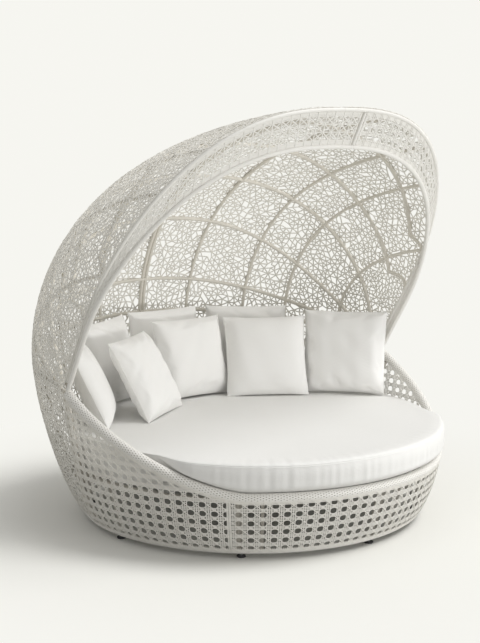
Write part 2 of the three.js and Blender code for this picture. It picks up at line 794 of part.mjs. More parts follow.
function seamBolt(side, share) {
  const { at, turn, half } = seamPlace(side, share);
  const end = half + boltHeadHeight;
  const profile = [[0, -end], [boltHeadRadius, -end], [boltHeadRadius, -half],
    [boltRadius, -half], [boltRadius, half], [boltHeadRadius, half], [boltHeadRadius, end],
    [0, end]];
  return new THREE.LatheGeometry(profile.map(([r, z]) => new THREE.Vector2(r, z)), 6)
    .rotateX(Math.PI / 2).applyQuaternion(turn).translate(...at.toArray());
}

// Cushions. The mattress has a crown, fills the bowl up to its rim and swells out over the
// front of the rim, where the rim is level.
const mattressLow = deckTop + touchGap;

function mattressSideRadius() {
  return frontRadius(frontRimHeight) - 2 * rimTubeRadius - mattressRimGap;
}

const mattressRadius = mattressSideRadius() + mattressSwell;

// Shares of the swell: out from the rim's inside, then up from the rim or down from the top.
const mattressLowShares = [[0.5, 0.12], [0.93, 0.42], [1, 0.95]];
const mattressHighShares = [[0.94, 0.38], [0.66, 0.06], [0.2, 0]];
const mattressFootShares = [0.25, 0.55];     // of the height from the deck to the rim's top
const mattressCrownShares = { reach: 0.6, rise: 0.7 };

function mattressProfile() {
  const inner = mattressSideRadius();
  const foot = inner - mattressFootInset;
  const swell = mattressSwell;
  const overRim = frontRimHeight + rimTubeRadius + mattressRimGap;
  const high = mattressLow + mattressThickness;
  const [low, seat] = mattressFootShares.map((share) => (
    mattressLow + (overRim - mattressLow) * share));
  return [[0, mattressLow], [foot, mattressLow], [(foot + inner) / 2, low], [inner, seat],
    ...mattressLowShares.map(([out, rise]) => [inner + swell * out, overRim + swell * rise]),
    ...mattressHighShares.map(([out, drop]) => [inner + swell * out, high - swell * drop]),
    [inner * mattressCrownShares.reach, high + mattressCrown * mattressCrownShares.rise],
    [0, high + mattressCrown]];
}

// Height of the mattress's crowned top at a distance from its middle.
function mattressHeight(radius) {
  const top = mattressProfile().slice(-3).reverse();
  const k = Math.max(1, top.findIndex(([reach]) => reach >= radius));
  const [[r0, z0], [r1, z1]] = top[k] ? [top[k - 1], top[k]] : top.slice(-2);
  return z0 + (z1 - z0) * (radius - r0) / (r1 - r0);
}

function mattress() {
  const body = new THREE.LatheGeometry(mattressProfile().map(([r, z]) => new THREE.Vector2(r, z)),
    mattressSides).rotateX(Math.PI / 2);
  const side = mattressSideRadius();
  const at = body.getAttribute('position');
  for (let i = 0; i < at.count; i += 1) {
    const [x, y] = [at.getX(i), at.getY(i)];
    const radius = Math.hypot(x, y);
    const turn = Math.abs(Math.atan2(x, -y));
    const drawn = THREE.MathUtils.smoothstep(turn, mattressSwellAngle - mattressEaseAngle,
      mattressSwellAngle + mattressEaseAngle);
    const share = radius > side ? 1 - drawn * (radius - side) / radius : 1;
    at.setXY(i, x * share, y * share);
  }
  return body;
}

// A pillow: two crowned faces that meet in a knife edge, with drawn-in sides and eared corners.
const pillowCells = 8;
const pillowForm = { draw: 0.045, edgePower: 4, fullness: 0.62, droop: 0.12 };

function pillowBody(size, thick) {
  const cells = pillowCells;
  const { draw, edgePower, fullness, droop } = pillowForm;
  const face = (hand) => Array.from({ length: cells + 1 }, (_, j) => Array.from(
    { length: cells + 1 }, (__, i) => {
      const x = Math.sin((2 * i / cells - 1) * Math.PI / 2);
      const y = Math.sin((2 * j / cells - 1) * Math.PI / 2);
      const crown = ((1 - x ** edgePower) * (1 - y ** edgePower)) ** fullness
        * (1 - droop * (x * x + y * y) / 2);
      return new THREE.Vector3(x * (1 - draw * (1 - y * y)) * size / 2,
        y * (1 - draw * (1 - x * x)) * size / 2, hand * crown * thick / 2);
    }));
  const front = face(1).flat();
  const back = face(-1).flat();
  const across = cells + 1;
  const edge = (k) => k % across === 0 || k % across === cells || k < across
    || k >= across * cells;
  const points = [...front, ...back.map((point, k) => (edge(k) ? front[k] : point))];
  const triangles = [];
  for (let j = 0; j < cells; j += 1) {
    for (let i = 0; i < cells; i += 1) {
      const a = j * across + i;
      const turned = (i < cells / 2) === (j < cells / 2);
      const quads = turned
        ? [[a, a + 1, a + across + 1], [a, a + across + 1, a + across]]
        : [[a, a + 1, a + across], [a + 1, a + across + 1, a + across]];
      quads.forEach(([p, q, r]) => {
        triangles.push(p, q, r, p + front.length, r + front.length, q + front.length);
      });
    }
  }
  return bare(meshOf(points, triangles));
}

// Places of the pillows on the mattress: shares of its radius across and back, the way each
// faces and how far it leans back, in degrees, and its size as a share of the pillow size.
const pillowSize = mattressRadius * pillowSizeShare;
const pillowThickness = pillowSize * pillowPlumpShare;
const pillowShares = {
  pillow_left_wall: { at: [-0.679, 0.294], face: 56, lean: 24, size: 0.95 },
  pillow_left_back: { at: [-0.45, 0.641], face: 28, lean: 8, size: 1 },
  pillow_left_front: { at: [-0.352, 0.271], face: 33, lean: 29, size: 0.96 },
  pillow_middle_front: { at: [0.042, 0.523], face: -1, lean: 18, size: 0.96 },
  pillow_middle_back: { at: [0, 0.757], face: 0, lean: 7, size: 1 },
  pillow_right_back: { at: [0.452, 0.63], face: -38, lean: 10, size: 1 },
  pillow_right_front: { at: [0.371, 0.32], face: -30, lean: 24, size: 0.98 },
  pillow_right_wall: { at: [0.752, 0.127], face: -49, lean: 15, size: 1 },
};

function pillow({ at, face, lean, size }) {
  const body = pillowBody(pillowSize * size, pillowThickness * size);
  body.translate(0, pillowSize * size / 2, 0);
  body.rotateX((90 - lean) * degree).rotateZ(face * degree);
  body.translate(at[0] * mattressRadius, at[1] * mattressRadius, 0);
  const spot = body.getAttribute('position');
  const gaps = Array.from({ length: spot.count }, (_, i) => spot.getZ(i)
    - mattressHeight(Math.hypot(spot.getX(i), spot.getY(i))));
  return body.translate(0, 0, touchGap - Math.min(...gaps));
}

// Materials
function finish(colour, roughness, metalness = 0) {
  return () => new THREE.MeshStandardMaterial({ color: colour, roughness, metalness });
}

const wicker = finish(0xe6e1d6, 0.62);
const wrap = finish(0xded8cb, 0.6);
const frameFinish = finish(0xd3ccbe, 0.55);
const slatFinish = finish(0x9c9c98, 0.5, 0.6);
const fabric = finish(0xf1efe9, 0.9);
const steel = finish(0xb9bcbf, 0.3, 0.9);
const plastic = finish(0x1d1d1f, 0.6);

const daybed = new THREE.Group();
const assembly = new THREE.Group();
daybed.add(assembly);

function place(name, geometry, material) {
  const mesh = new THREE.Mesh(bare(geometry), material());
  mesh.name = name;
  assembly.add(mesh);
}

function addBase() {
  place('base_frame', baseFrame(), frameFinish);
  place('base_rim', baseRim(), wrap);
  const seam = weaveSeat / floorRadius;
  const wallEnd = cornerAngle - seam;
  place('base_weave_left', baseWall(-wallEnd, wallSeamAngle - seam), wicker);
  place('base_weave_right', baseWall(wallSeamAngle + seam, wallEnd), wicker);
  slatPlaces().forEach((y, i) => place(`deck_slat_${i + 1}`, deckSlat(y), slatFinish));
  footAngles().forEach((angle, i) => {
    place(`glide_stem_${i + 1}`, footStem(angle), steel);
    place(`glide_pad_${i + 1}`, footPad(angle), plastic);
  });
}

function addHood() {
  const halves = {
    hood_frame: [hoodFrameHalf(), frameFinish],
    hood_weave: [domeWeaveHalf(), wicker],
    back_weave: [backWeaveHalf(), wicker],
  };
  Object.entries(halves).forEach(([name, [geometry, material]]) => {
    const left = bare(geometry).translate(-halfSeam, 0, 0);
    place(`${name}_left`, left, material);
    place(`${name}_right`, mirrored(left), material);
  });
  const gap = (jointWrapRadius + weaveSeat) / hoodHalfWidth;
  const lipGap = weaveSeat / hoodHalfWidth;
  place('visor_lip_left', visorLip(-visorEnd, visorJoint - lipGap), wrap);
  place('visor_lip_right', visorLip(visorJoint + lipGap, visorEnd), wrap);
  place('visor_weave_left', visorWeave(-visorEnd, visorJoint - gap), wicker);
  place('visor_weave_right', visorWeave(visorJoint + gap, visorEnd), wicker);
  place('visor_joint', visorJointWrap(), wrap);
  [-1, 1].forEach((side) => boltHeightShares.forEach((share, i) => {
    place(`seam_bolt_${side < 0 ? 'left' : 'right'}_${i + 1}`, seamBolt(side, share), steel);
  }));
}

function addCushions() {
  place('mattress', mattress(), fabric);
  Object.entries(pillowShares).forEach(([name, spot]) => place(name, pillow(spot), fabric));
}

addBase();
addHood();
addCushions();

// The origin is the bottom centre of the whole daybed.
const box = new THREE.Box3().setFromObject(assembly, true);
assembly.position.set(-(box.min.x + box.max.x) / 2, -(box.min.y + box.max.y) / 2, -box.min.z);
daybed.updateMatrixWorld(true);

export default daybed;
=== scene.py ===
"""Looks of the outdoor daybed with canopy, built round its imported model.

Metres, +Z up. The open front faces -Y, and the origin is on the floor under the middle of the
whole daybed. Angles round the bowl start at the front and run towards +X.
"""

import logging
from collections.abc import Callable, Mapping, Sequence
from dataclasses import dataclass, field
from enum import Enum
from math import ceil, cos, pi, radians, sin
from typing import Any

import bmesh
import bpy
import numpy as np
from mathutils import Matrix, Vector
from mathutils.geometry import delaunay_2d_cdt
from mathutils.kdtree import KDTree


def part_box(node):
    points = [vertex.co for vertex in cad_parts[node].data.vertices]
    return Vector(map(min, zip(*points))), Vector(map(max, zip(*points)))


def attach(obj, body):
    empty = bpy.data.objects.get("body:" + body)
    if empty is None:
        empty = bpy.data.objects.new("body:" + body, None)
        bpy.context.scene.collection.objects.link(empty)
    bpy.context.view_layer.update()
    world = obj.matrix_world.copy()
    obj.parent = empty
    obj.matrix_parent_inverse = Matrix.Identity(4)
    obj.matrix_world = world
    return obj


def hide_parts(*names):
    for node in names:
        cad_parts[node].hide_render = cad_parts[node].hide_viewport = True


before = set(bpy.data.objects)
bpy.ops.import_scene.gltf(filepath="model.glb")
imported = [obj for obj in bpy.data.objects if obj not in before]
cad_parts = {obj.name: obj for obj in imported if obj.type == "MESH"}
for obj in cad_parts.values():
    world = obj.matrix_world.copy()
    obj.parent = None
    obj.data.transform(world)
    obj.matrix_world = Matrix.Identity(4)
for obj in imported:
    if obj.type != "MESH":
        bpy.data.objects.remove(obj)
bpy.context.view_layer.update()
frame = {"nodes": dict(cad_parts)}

LOG = logging.getLogger("daybed")
Points = np.ndarray
Pair = tuple[float, float]
Triple = tuple[float, float, float]
Colour = Triple


class Slot(Enum):
    """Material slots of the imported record."""

    TUBE = "frame_tube"
    WRAP = "wicker_wrap"
    WEAVE = "wicker_weave"
    SLAT = "slat_metal"
    BOLT = "bolt_steel"
    STEM = "glide_steel"
    PAD = "glide_pad"
    MATTRESS = "mattress_fabric"
    PILLOW = "pillow_fabric"


class Hand(Enum):
    """The two sides of the daybed, as someone in front of it sees them."""

    LEFT = -1
    RIGHT = 1

    @property
    def word(self) -> str:
        """The side's name in node names."""
        return self.name.lower()


# Shader benches


@dataclass(frozen=True)
class Signal:
    """A number flowing between shader nodes, which can be used in sums."""

    bench: "Bench"
    socket: bpy.types.NodeSocket

    def _math(self, operation: str, first: Any, second: Any) -> "Signal":
        """Adds one Math node."""
        made = self.bench.node("ShaderNodeMath", {"operation": operation}, {0: first, 1: second})
        return Signal(self.bench, made.outputs[0])

    def __add__(self, other: Any) -> "Signal":
        """Sum."""
        return self._math("ADD", self, other)

    __radd__ = __add__

    def __sub__(self, other: Any) -> "Signal":
        """Difference."""
        return self._math("SUBTRACT", self, other)

    def __rsub__(self, other: Any) -> "Signal":
        """Difference from a number."""
        return self._math("SUBTRACT", other, self)

    def __mul__(self, other: Any) -> "Signal":
        """Product."""
        return self._math("MULTIPLY", self, other)

    __rmul__ = __mul__

    def __pow__(self, other: Any) -> "Signal":
        """Power."""
        return self._math("POWER", self, other)

    def larger(self, other: Any) -> "Signal":
        """The larger of two numbers."""
        return self._math("MAXIMUM", self, other)

    def wave(self) -> "Signal":
        """Sine of the number."""
        return self._math("SINE", self, 0.0)


class Bench:
    """Lays out the nodes of one material or of the world."""

    def __init__(self, owner: bpy.types.Material | bpy.types.World) -> None:
        """Starts with no nodes.

        Args:
            owner: The material or world that the nodes belong to.
        """
        owner.use_nodes = True
        self.owner, self.tree = owner, owner.node_tree
        self.tree.nodes.clear()

    def node(self, kind: str, settings: Mapping[str, Any] | None = None,
             values: Mapping[Any, Any] | None = None) -> bpy.types.Node:
        """Adds a node.

        Args:
            kind: The node's type.
            settings: Its settings, set first.
            values: Values or links of its sockets, by name or number.

        Returns:
            The new node.
        """
        made = self.tree.nodes.new(kind)
        for key, value in (settings or {}).items():
            setattr(made, key, value)
        for key, value in (values or {}).items():
            socket = made.inputs[key]
            if isinstance(value, Signal):
                self.tree.links.new(value.socket, socket)
            elif isinstance(value, bpy.types.NodeSocket):
                self.tree.links.new(value, socket)
            else:
                socket.default_value = value
        return made

    def place(self) -> bpy.types.NodeSocket:
        """Object coordinates."""
        return self.node("ShaderNodeTexCoord").outputs["Object"]

    def grain(self, scale: float, detail: float = 2.0, stretch: Triple | None = None) -> Signal:
        """Noise over the piece.

        Args:
            scale: Cells in a metre.
            detail: Octaves of finer noise.
            stretch: Scale along each axis.

        Returns:
            The noise as a number from 0 to 1.
        """
        at = self.place()
        if stretch:
            at = self.node("ShaderNodeMapping", None, {"Vector": at, "Scale": stretch}).outputs[0]
        made = self.node("ShaderNodeTexNoise", None,
                         {"Vector": at, "Scale": scale, "Detail": detail})
        return Signal(self, made.outputs["Fac"])

    def blend(self, share: Any, low: Colour, high: Colour) -> bpy.types.NodeSocket:
        """Mixes two colours.

        Args:
            share: Share of the second colour.
            low: First colour.
            high: Second colour.

        Returns:
            The mixed colour's socket.
        """
        made = self.node("ShaderNodeMix", {"data_type": "RGBA"},
                         {0: share, 6: (*low, 1.0), 7: (*high, 1.0)})
        return made.outputs[2]

    def finish(self, values: Mapping[str, Any], bump: Signal,
               depth: float) -> bpy.types.Material:
        """Ends the material in one surface shader.

        Args:
            values: Values or links of the surface shader.
            bump: Height of the surface's relief.
            depth: The relief's depth in metres.

        Returns:
            The finished material.
        """
        relief = self.node("ShaderNodeBump", None,
                           {"Strength": 1.0, "Distance": depth, "Height": bump})
        surface = self.node("ShaderNodeBsdfPrincipled", None,
                            {**values, "Normal": relief.outputs[0]})
        self.node("ShaderNodeOutputMaterial", None, {"Surface": surface.outputs[0]})
        return self.owner


@dataclass(frozen=True)
class GrainFinish:
    """A surface that is a little darker in patches, with a fine grain.

    Patches and grain are given as cells in a metre and octaves of finer noise.
    """

    name: str
    pale: Colour
    deep: Colour
    roughness: float = 0.55
    metallic: float = 0.0
    patches: Pair = (12.0, 4.0)
    grain: Pair = (160.0, 3.0)
    patch_share: float = 0.7
    uneven: float = 0.16
    depth: float = 0.0002

    def made(self) -> bpy.types.Material:
        """Builds the material.

        Returns:
            The material, ready for a piece.
        """
        bench = Bench(bpy.data.materials.new(self.name))
        grain = bench.grain(*self.grain)
        share = bench.grain(*self.patches) * self.patch_share + grain * (1 - self.patch_share)
        return bench.finish({
            "Base Color": bench.blend(share, self.deep, self.pale),
            "Roughness": grain * self.uneven + (self.roughness - self.uneven / 2),
            "Metallic": self.metallic,
        }, grain, self.depth)


@dataclass(frozen=True)
class HardFinish(GrainFinish):
    """Coated or bare metal, or plastic, with light wear."""


@dataclass(frozen=True)
class StrandFinish(GrainFinish):
    """Matt resin strand."""

    patches: Pair = (7.0, 3.0)
    grain: Pair = (420.0, 2.0)
    patch_share: float = 0.65
    uneven: float = 0.2
    depth: float = 0.0003


@dataclass(frozen=True)
class ClothFinish:
    """Woven outdoor fabric with a fine thread relief and faint slubs."""

    name: str
    pale: Colour
    deep: Colour
    roughness: float = 0.85
    sheen: float = 0.15
    threads: float = 1100.0
    slubs: Pair = (60.0, 3.0)
    slub_length: float = 6.0
    patches: Pair = (3.0, 2.0)
    patch_share: float = 0.6
    thread_share: float = 0.3
    depth: float = 0.0004

    def made(self) -> bpy.types.Material:
        """Builds the material.

        Returns:
            The material, ready for a piece.
        """
        bench = Bench(bpy.data.materials.new(self.name))
        split = bench.node("ShaderNodeSeparateXYZ", None, {0: bench.place()})
        x, y, z = ((Signal(bench, out) * self.threads).wave() for out in split.outputs)
        threads = x * y * 0.5 + z * 0.5
        slub = bench.grain(*self.slubs, (1.0, 1.0, self.slub_length))
        share = bench.grain(*self.patches) * self.patch_share + slub * (1 - self.patch_share)
        return bench.finish({
            "Base Color": bench.blend(share, self.deep, self.pale),
            "Roughness": slub * 0.1 + self.roughness,
            "Sheen Weight": self.sheen,
        }, threads * self.thread_share + slub, self.depth)


FINISHES = {
    Slot.WEAVE: StrandFinish("woven_strand", (0.90, 0.885, 0.835), (0.77, 0.745, 0.685)),
    # The wound strand's own colour, which also serves as painted light on the visor's cane and the
    # front bow.
    Slot.WRAP: StrandFinish("wound_strand_and_painted_light", (0.93, 0.92, 0.885), (0.82, 0.80, 0.75)),
    Slot.TUBE: HardFinish("coated_tube", (0.72, 0.69, 0.63), (0.62, 0.59, 0.53), 0.5),
    Slot.SLAT: HardFinish("satin_slat", (0.50, 0.50, 0.49), (0.40, 0.40, 0.39), 0.42, 0.7),
    Slot.BOLT: HardFinish("bolt_steel", (0.62, 0.62, 0.62), (0.50, 0.50, 0.50), 0.32, 0.9),
    Slot.STEM: HardFinish("glide_steel", (0.72, 0.73, 0.74), (0.60, 0.61, 0.62), 0.26, 0.95),
    Slot.PAD: HardFinish("glide_pad", (0.03, 0.03, 0.032), (0.02, 0.02, 0.022), 0.6),
    Slot.MATTRESS: ClothFinish("mattress_cloth", (0.86, 0.855, 0.835), (0.81, 0.805, 0.78)),
    Slot.PILLOW: ClothFinish("pillow_cloth", (0.95, 0.945, 0.925), (0.90, 0.89, 0.865)),
}
MATERIALS: dict[Slot, bpy.types.Material] = {}
# Dark finish of the rim's core: painted shade that shows through the gaps of the braid laid over
# it.
PAINTED_SHADE_CORE = StrandFinish("rim_core_painted_shade", (0.42, 0.39, 0.33), (0.30, 0.275, 0.225), 0.7)
# Darker copy of the wound strand for the hood's inner bows, ribs, floor rail and posts: painted
# shade.
SHADED_HOOD_WINDING = StrandFinish("hood_winding", (0.86, 0.83, 0.76), (0.73, 0.695, 0.62))


# Surfaces of the daybed


TRIM = 0.008  # from the corner line to the ends of the hood's arches
SEAM_ROW, CORNER_ROW, FLOOR_ROW = 6, 7, 8  # where the nets part, the corners, the floor


@dataclass(frozen=True)
class Bowl:
    """The flaring woven bowl, its rim and its floor circle."""

    back: float = -0.023407
    floor_gap: float = 0.022
    floor_radius: float = 0.838
    corner_height: float = 0.689
    corner_radius: float = 1.003
    corner_angle: float = radians(98)
    even: float = 0.66
    early: float = 0.34
    early_power: float = 6.0
    rim_height: float = 0.298
    level_angle: float = radians(38)
    rim_ease: float = 0.12
    rim_power: float = 1.25
    rim_radius: float = 0.021
    rim_end: float = radians(96.4)

    def flare(self, rise: Points) -> Points:
        """Share of the flare that is reached at a share of the height."""
        return self.even * rise + self.early * (1 - np.maximum(0, 1 - rise) ** self.early_power)

    def radius(self, height: Points) -> Points:
        """Radius of the front wall at a height."""
        rise = np.maximum(0, height - self.floor_gap) / (self.corner_height - self.floor_gap)
        return self.floor_radius + (self.corner_radius - self.floor_radius) * self.flare(rise)

    def spot(self, radius: Points, angle: Points, height: Points) -> Points:
        """A place round the bowl's axis."""
        return np.stack(np.broadcast_arrays(
            radius * np.sin(angle), self.back - radius * np.cos(angle), height), -1)

    def outward(self, angle: Points) -> Points:
        """Level direction out of the bowl at an angle."""
        return self.spot(1.0, angle, 0.0) - self.spot(0.0, angle, 0.0)

    def rim(self, angle: Points) -> Points:
        """Height of the middle of the rim.

        Args:
            angle: Angle round the bowl.

        Returns:
            The height, level at the front and rising to the corners.
        """
        share = np.maximum(0, (np.abs(angle) - self.level_angle)
                           / (self.corner_angle - self.level_angle))
        rise = share ** 2 / (share + self.rim_ease) * (1 + self.rim_ease)
        return self.rim_height + (self.corner_height - self.rim_height) * rise ** self.rim_power


@dataclass(frozen=True)
class Shell:
    """The whole woven hood, from the front bow (row 0) over the corners (7) to the floor (8)."""

    bowl: Bowl = Bowl()
    crest_tilt: float = radians(58)
    crest_reach: float = 1.512
    rear_inset: float = 0.0134
    half_width: float = 1.036
    snap: float = 40.0
    crest_squareness: float = 2.6
    rear_squareness: float = 2.0
    rear_fullness: float = 1.65
    even: float = 0.42
    late: float = 0.58
    late_power: float = 5.5
    draw_in: float = 3.0
    tilts: tuple[float, ...] = (58, 73, 91.5, 111.5, 132, 156, 168, 180)
    sweeps: tuple[float, ...] = (0, -12, -26, -4, 20, 8, 3, 0)
    powers: tuple[float, ...] = (1, 1.2, 2.2, 1, 1.2, 1, 1, 1)

    @property
    def setback(self) -> float:
        """Corner line behind the bowl's axis."""
        return -self.bowl.corner_radius * cos(self.bowl.corner_angle)

    @property
    def spread(self) -> float:
        """Half the distance between the corners."""
        return self.bowl.corner_radius * sin(self.bowl.corner_angle)

    def arch(self, side: Points, tilt: Points, reach: Points, half_width: float,
             squareness: Points, trim: float) -> Points:
        """A place on an arch from corner to corner.

        Args:
            side: From -1 at the left corner to 1 at the right one.
            tilt: Tilt of the arch's plane from the front horizon.
            reach: Corner line to the arch's top.
            half_width: Half the arch's width.
            squareness: Power of the arch's superellipse.
            trim: Corner line to the arch's ends.

        Returns:
            The place.
        """
        start = np.arcsin((trim / reach) ** (squareness / 2))
        turn = (pi / 2 - start) * side
        along, out = np.sin(turn), np.cos(turn) ** (2 / squareness) * reach
        draw = (self.half_width - self.spread) * np.abs(along) ** self.snap
        x = np.sign(along) * (half_width * np.abs(along) ** (2 / squareness) - draw)
        y = self.setback + self.bowl.back - out * np.cos(tilt)
        return np.stack([x, y, self.bowl.corner_height + out * np.sin(tilt)], -1)

    def dome(self, side: Points, tilt: Points, trim: float) -> Points:
        """A place on the dome, by the tilt of the plane that it lies in.

        Args:
            side: From -1 at the left corner to 1 at the right one.
            tilt: Tilt of the plane from the front horizon.
            trim: Corner line to the arch's ends.

        Returns:
            The place.
        """
        share = (pi - tilt) / (pi - self.crest_tilt)
        rear = self.bowl.corner_radius - self.rear_inset - self.setback
        reach = rear + (self.crest_reach - rear) * (
            self.even * share + self.late * np.abs(share) ** self.late_power)
        squareness = self.rear_squareness \
            + (self.crest_squareness - self.rear_squareness) * share
        return self.arch(side, tilt, reach, self.half_width, squareness, trim)

    def skirt(self, side: Points, share: Points, trim: float) -> Points:
        """A place on the wall behind the corners.

        Args:
            side: From -1 at the left corner to 1 at the right one.
            share: Share of the corners' height.
            trim: Corner line to the dome's lowest arch.

        Returns:
            The place.
        """
        bowl = self.bowl
        top = self.dome(side, np.full_like(side, pi), trim)
        angle = np.arctan2(top[..., 0], bowl.back - top[..., 1])
        foot = bowl.spot(bowl.floor_radius, angle, bowl.floor_gap)
        round_out, flare = 1 - (1 - share) ** self.rear_fullness, bowl.flare(share)
        out = (round_out + (flare - round_out) * np.abs(side) ** self.draw_in)[..., None]
        at = foot + (top - foot) * out
        at[..., 2] = bowl.floor_gap + (bowl.corner_height - bowl.floor_gap) * share
        return at

    def tilt(self, row: Points, side: Points) -> Points:
        """Tilt of a row at a place along it.

        Args:
            row: The row, counted in bows.
            side: From -1 at the left corner to 1 at the right one.

        Returns:
            The tilt in radians.
        """
        bend = 1 - np.cos(side * pi / 2)
        low = np.clip(np.floor(row).astype(int), 0, len(self.tilts) - 2)
        near, far = (np.radians(np.take(self.tilts, at) + np.take(self.sweeps, at)
                                * bend ** np.take(self.powers, at)) for at in (low, low + 1))
        return near + (far - near) * (row - low)

    def point(self, row: Points, side: Points, trim: float = TRIM) -> Points:
        """A place on the outer face.

        Args:
            row: From 0 at the front bow over 7 at the corners to 8 at the floor.
            side: From -1 at the left corner to 1 at the right one.
            trim: Corner line to the arches' ends.

        Returns:
            The place.
        """
        row, side = (part.astype(float) for part in np.broadcast_arrays(row, side))
        upper = self.dome(side, self.tilt(np.minimum(row, CORNER_ROW), side), trim)
        lower = self.skirt(side, FLOOR_ROW - np.maximum(row, CORNER_ROW), trim)
        return np.where((row > CORNER_ROW)[..., None], lower, upper)

    def normal(self, row: Points, side: Points, trim: float = TRIM) -> Points:
        """The outward direction at a place.

        Args:
            row: The row, as for the place.
            side: The side, as for the place.
            trim: Corner line to the arches' ends.

        Returns:
            The direction.
        """
        row, side = (part.astype(float) for part in np.broadcast_arrays(row, side))
        step = 1e-4
        away = np.where(row >= CORNER_ROW, step, -step)
        along = (self.point(row + away, side, trim) - self.point(row, side, trim)) \
            * -np.sign(away)[..., None]
        inner = np.clip(side, -1 + step, 1 - step)
        across = self.point(row, inner + step, trim) - self.point(row, inner - step, trim)
        return unit(np.cross(along, across))

    def inside(self, row: Points, side: Points, depth: float, trim: float = TRIM) -> Points:
        """A place inside the outer face by a depth."""
        return self.point(row, side, trim) - self.normal(row, side, trim) * depth


def unit(vectors: Points) -> Points:
    """Vectors at length 1."""
    return vectors / np.maximum(np.linalg.norm(vectors, axis=-1, keepdims=True), 1e-12)


def run_length(path: Points) -> Points:
    """Distance along a path at each of its points."""
    steps = np.linalg.norm(np.diff(path, axis=0), axis=1)
    return np.concatenate([[0.0], np.cumsum(steps)])


def resampled(path: Points, count: int, *others: Points) -> list[Points]:
    """Points at even steps along a path.

    Args:
        path: The path.
        count: Number of points.
        others: Further values on the path, taken at the same places.

    Returns:
        The path and the other values at even steps.
    """
    run = run_length(path)
    at = np.linspace(0, run[-1], count)
    return [np.stack([np.interp(at, run, values[:, k]) for k in range(values.shape[1])], -1)
            for values in (path, *others)]


def tangents(path: Points) -> Points:
    """Unit directions along a path."""
    return unit(np.gradient(path, axis=0))


# Mesh helpers


def coordinates(mesh: bpy.types.Mesh) -> Points:
    """Reads all points of a mesh.

    Args:
        mesh: The mesh.

    Returns:
        One row for each point.
    """
    flat = np.empty(len(mesh.vertices) * 3)
    mesh.vertices.foreach_get("co", flat)
    return flat.reshape(-1, 3)


def formed_grid(name: str, columns: int, rows: int, form: Callable[[Points, Points], Points],
                closed: bool = False, capped: bool = False) -> bpy.types.Mesh:
    """Makes a grid and moves its points into a form.

    Args:
        name: Name of the mesh.
        columns: Cells along u.
        rows: Cells along v.
        form: Place of each point, from its u and v between 0 and 1.
        closed: Whether the edges that meet are joined.
        capped: Whether the open ends are filled.

    Returns:
        The mesh.
    """
    mesh = bpy.data.meshes.new(name)
    bm = bmesh.new()
    bmesh.ops.create_grid(bm, x_segments=columns, y_segments=rows, size=1.0)
    bm.to_mesh(mesh)
    flat = coordinates(mesh)
    mesh.vertices.foreach_set("co", form((flat[:, 0] + 1) / 2, (flat[:, 1] + 1) / 2).ravel())
    if closed or capped:
        bm.clear()
        bm.from_mesh(mesh)
        bmesh.ops.remove_doubles(bm, verts=bm.verts, dist=1e-5)
        if capped:
            bmesh.ops.holes_fill(bm, edges=[e for e in bm.edges if e.is_boundary], sides=0)
        bmesh.ops.recalc_face_normals(bm, faces=bm.faces)
        bm.to_mesh(mesh)
    bm.free()
    return mesh


def joined(name: str, meshes: Sequence[bpy.types.Mesh]) -> bpy.types.Mesh:
    """Joins several meshes and removes them.

    Args:
        name: Name of the joined mesh.
        meshes: The meshes.

    Returns:
        The joined mesh.
    """
    bm = bmesh.new()
    for mesh in meshes:
        bm.from_mesh(mesh)
        bpy.data.meshes.remove(mesh)
    made = bpy.data.meshes.new(name)
    bm.to_mesh(made)
    bm.free()
    return made


def linked(name: str, data: bpy.types.ID) -> bpy.types.Object:
    """Puts a new object in the scene, at the origin.

    Args:
        name: Its name.
        data: Its mesh, camera or lamp.

    Returns:
        The object.
    """
    made = bpy.data.objects.new(name, data)
    bpy.context.scene.collection.objects.link(made)
    return made


def dressed(piece: bpy.types.Object, slot: Slot, body: str, replaces: Sequence[str],
            smooth: bool = True, finish: StrandFinish | None = None) -> bpy.types.Object:
    """Gives a piece its finish, its body and the nodes that it stands for.

    Args:
        piece: The piece, with its mesh in place.
        slot: Material slot that it takes its finish from.
        body: The body that it rides on.
        replaces: The nodes that it stands for.
        smooth: Whether it is shaded smooth.
        finish: A finish of its own, in place of the slot's.

    Returns:
        The piece.
    """
    mesh = piece.data
    mesh.polygons.foreach_set("use_smooth", [smooth] * len(mesh.polygons))
    mesh.materials.append(finish.made() if finish else MATERIALS[slot])
    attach(piece, body)
    if replaces:
        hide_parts(*replaces)
    LOG.info("%s: %d faces", piece.name, len(mesh.polygons))
    return piece


def added(name: str, mesh: bpy.types.Mesh, slot: Slot, replaces: Sequence[str] = (),
          body: str = "frame", smooth: bool = True,
          finish: StrandFinish | None = None) -> bpy.types.Object:
    """Puts a finished mesh in the scene as a dressed piece."""
    return dressed(linked(name, mesh), slot, body, replaces, smooth, finish)


@dataclass(frozen=True)
class Strand:
    """One flat strand: the line that it follows, and half its width as a direction."""

    line: Points
    half: Points


def flat_strand(line: Points, out: Points, width: float) -> Strand:
    """A strand that lies flat, with its face in a direction."""
    return Strand(line, unit(np.cross(out, tangents(line))) * width / 2)


def kept_strands(keep: Points, least: int, step: float, width: float,
                 form: Callable[[slice], tuple[Points, Points]]) -> list[Strand]:
    """Makes a strand of each unbroken run of a line's kept points.

    Args:
        keep: Whether each point of the line is kept.
        least: Fewest points that make a strand.
        step: Distance between the strand's points, at most.
        width: Width of the strand.
        form: Places and outward directions of a run of points.

    Returns:
        The strands.
    """
    cuts = np.flatnonzero(np.diff(np.concatenate([[0], keep.astype(int), [0]])))
    made = []
    for start, stop in zip(cuts[::2], cuts[1::2]):
        if stop - start >= least:
            line, out = form(slice(start, stop))
            count = max(3, ceil(run_length(line)[-1] / step) + 1)
            line, out = resampled(line, count, out)
            made.append(flat_strand(line, out, width))
    return made


def cross_frame(line: Points, side: Points) -> tuple[Points, Points]:
    """Two directions across a line.

    Args:
        line: The line.
        side: A direction at each point, which the first one comes nearest to.

    Returns:
        The two directions at each point.
    """
    along = tangents(line)
    first = unit(side - along * np.sum(side * along, -1, keepdims=True))
    return first, np.cross(along, first)


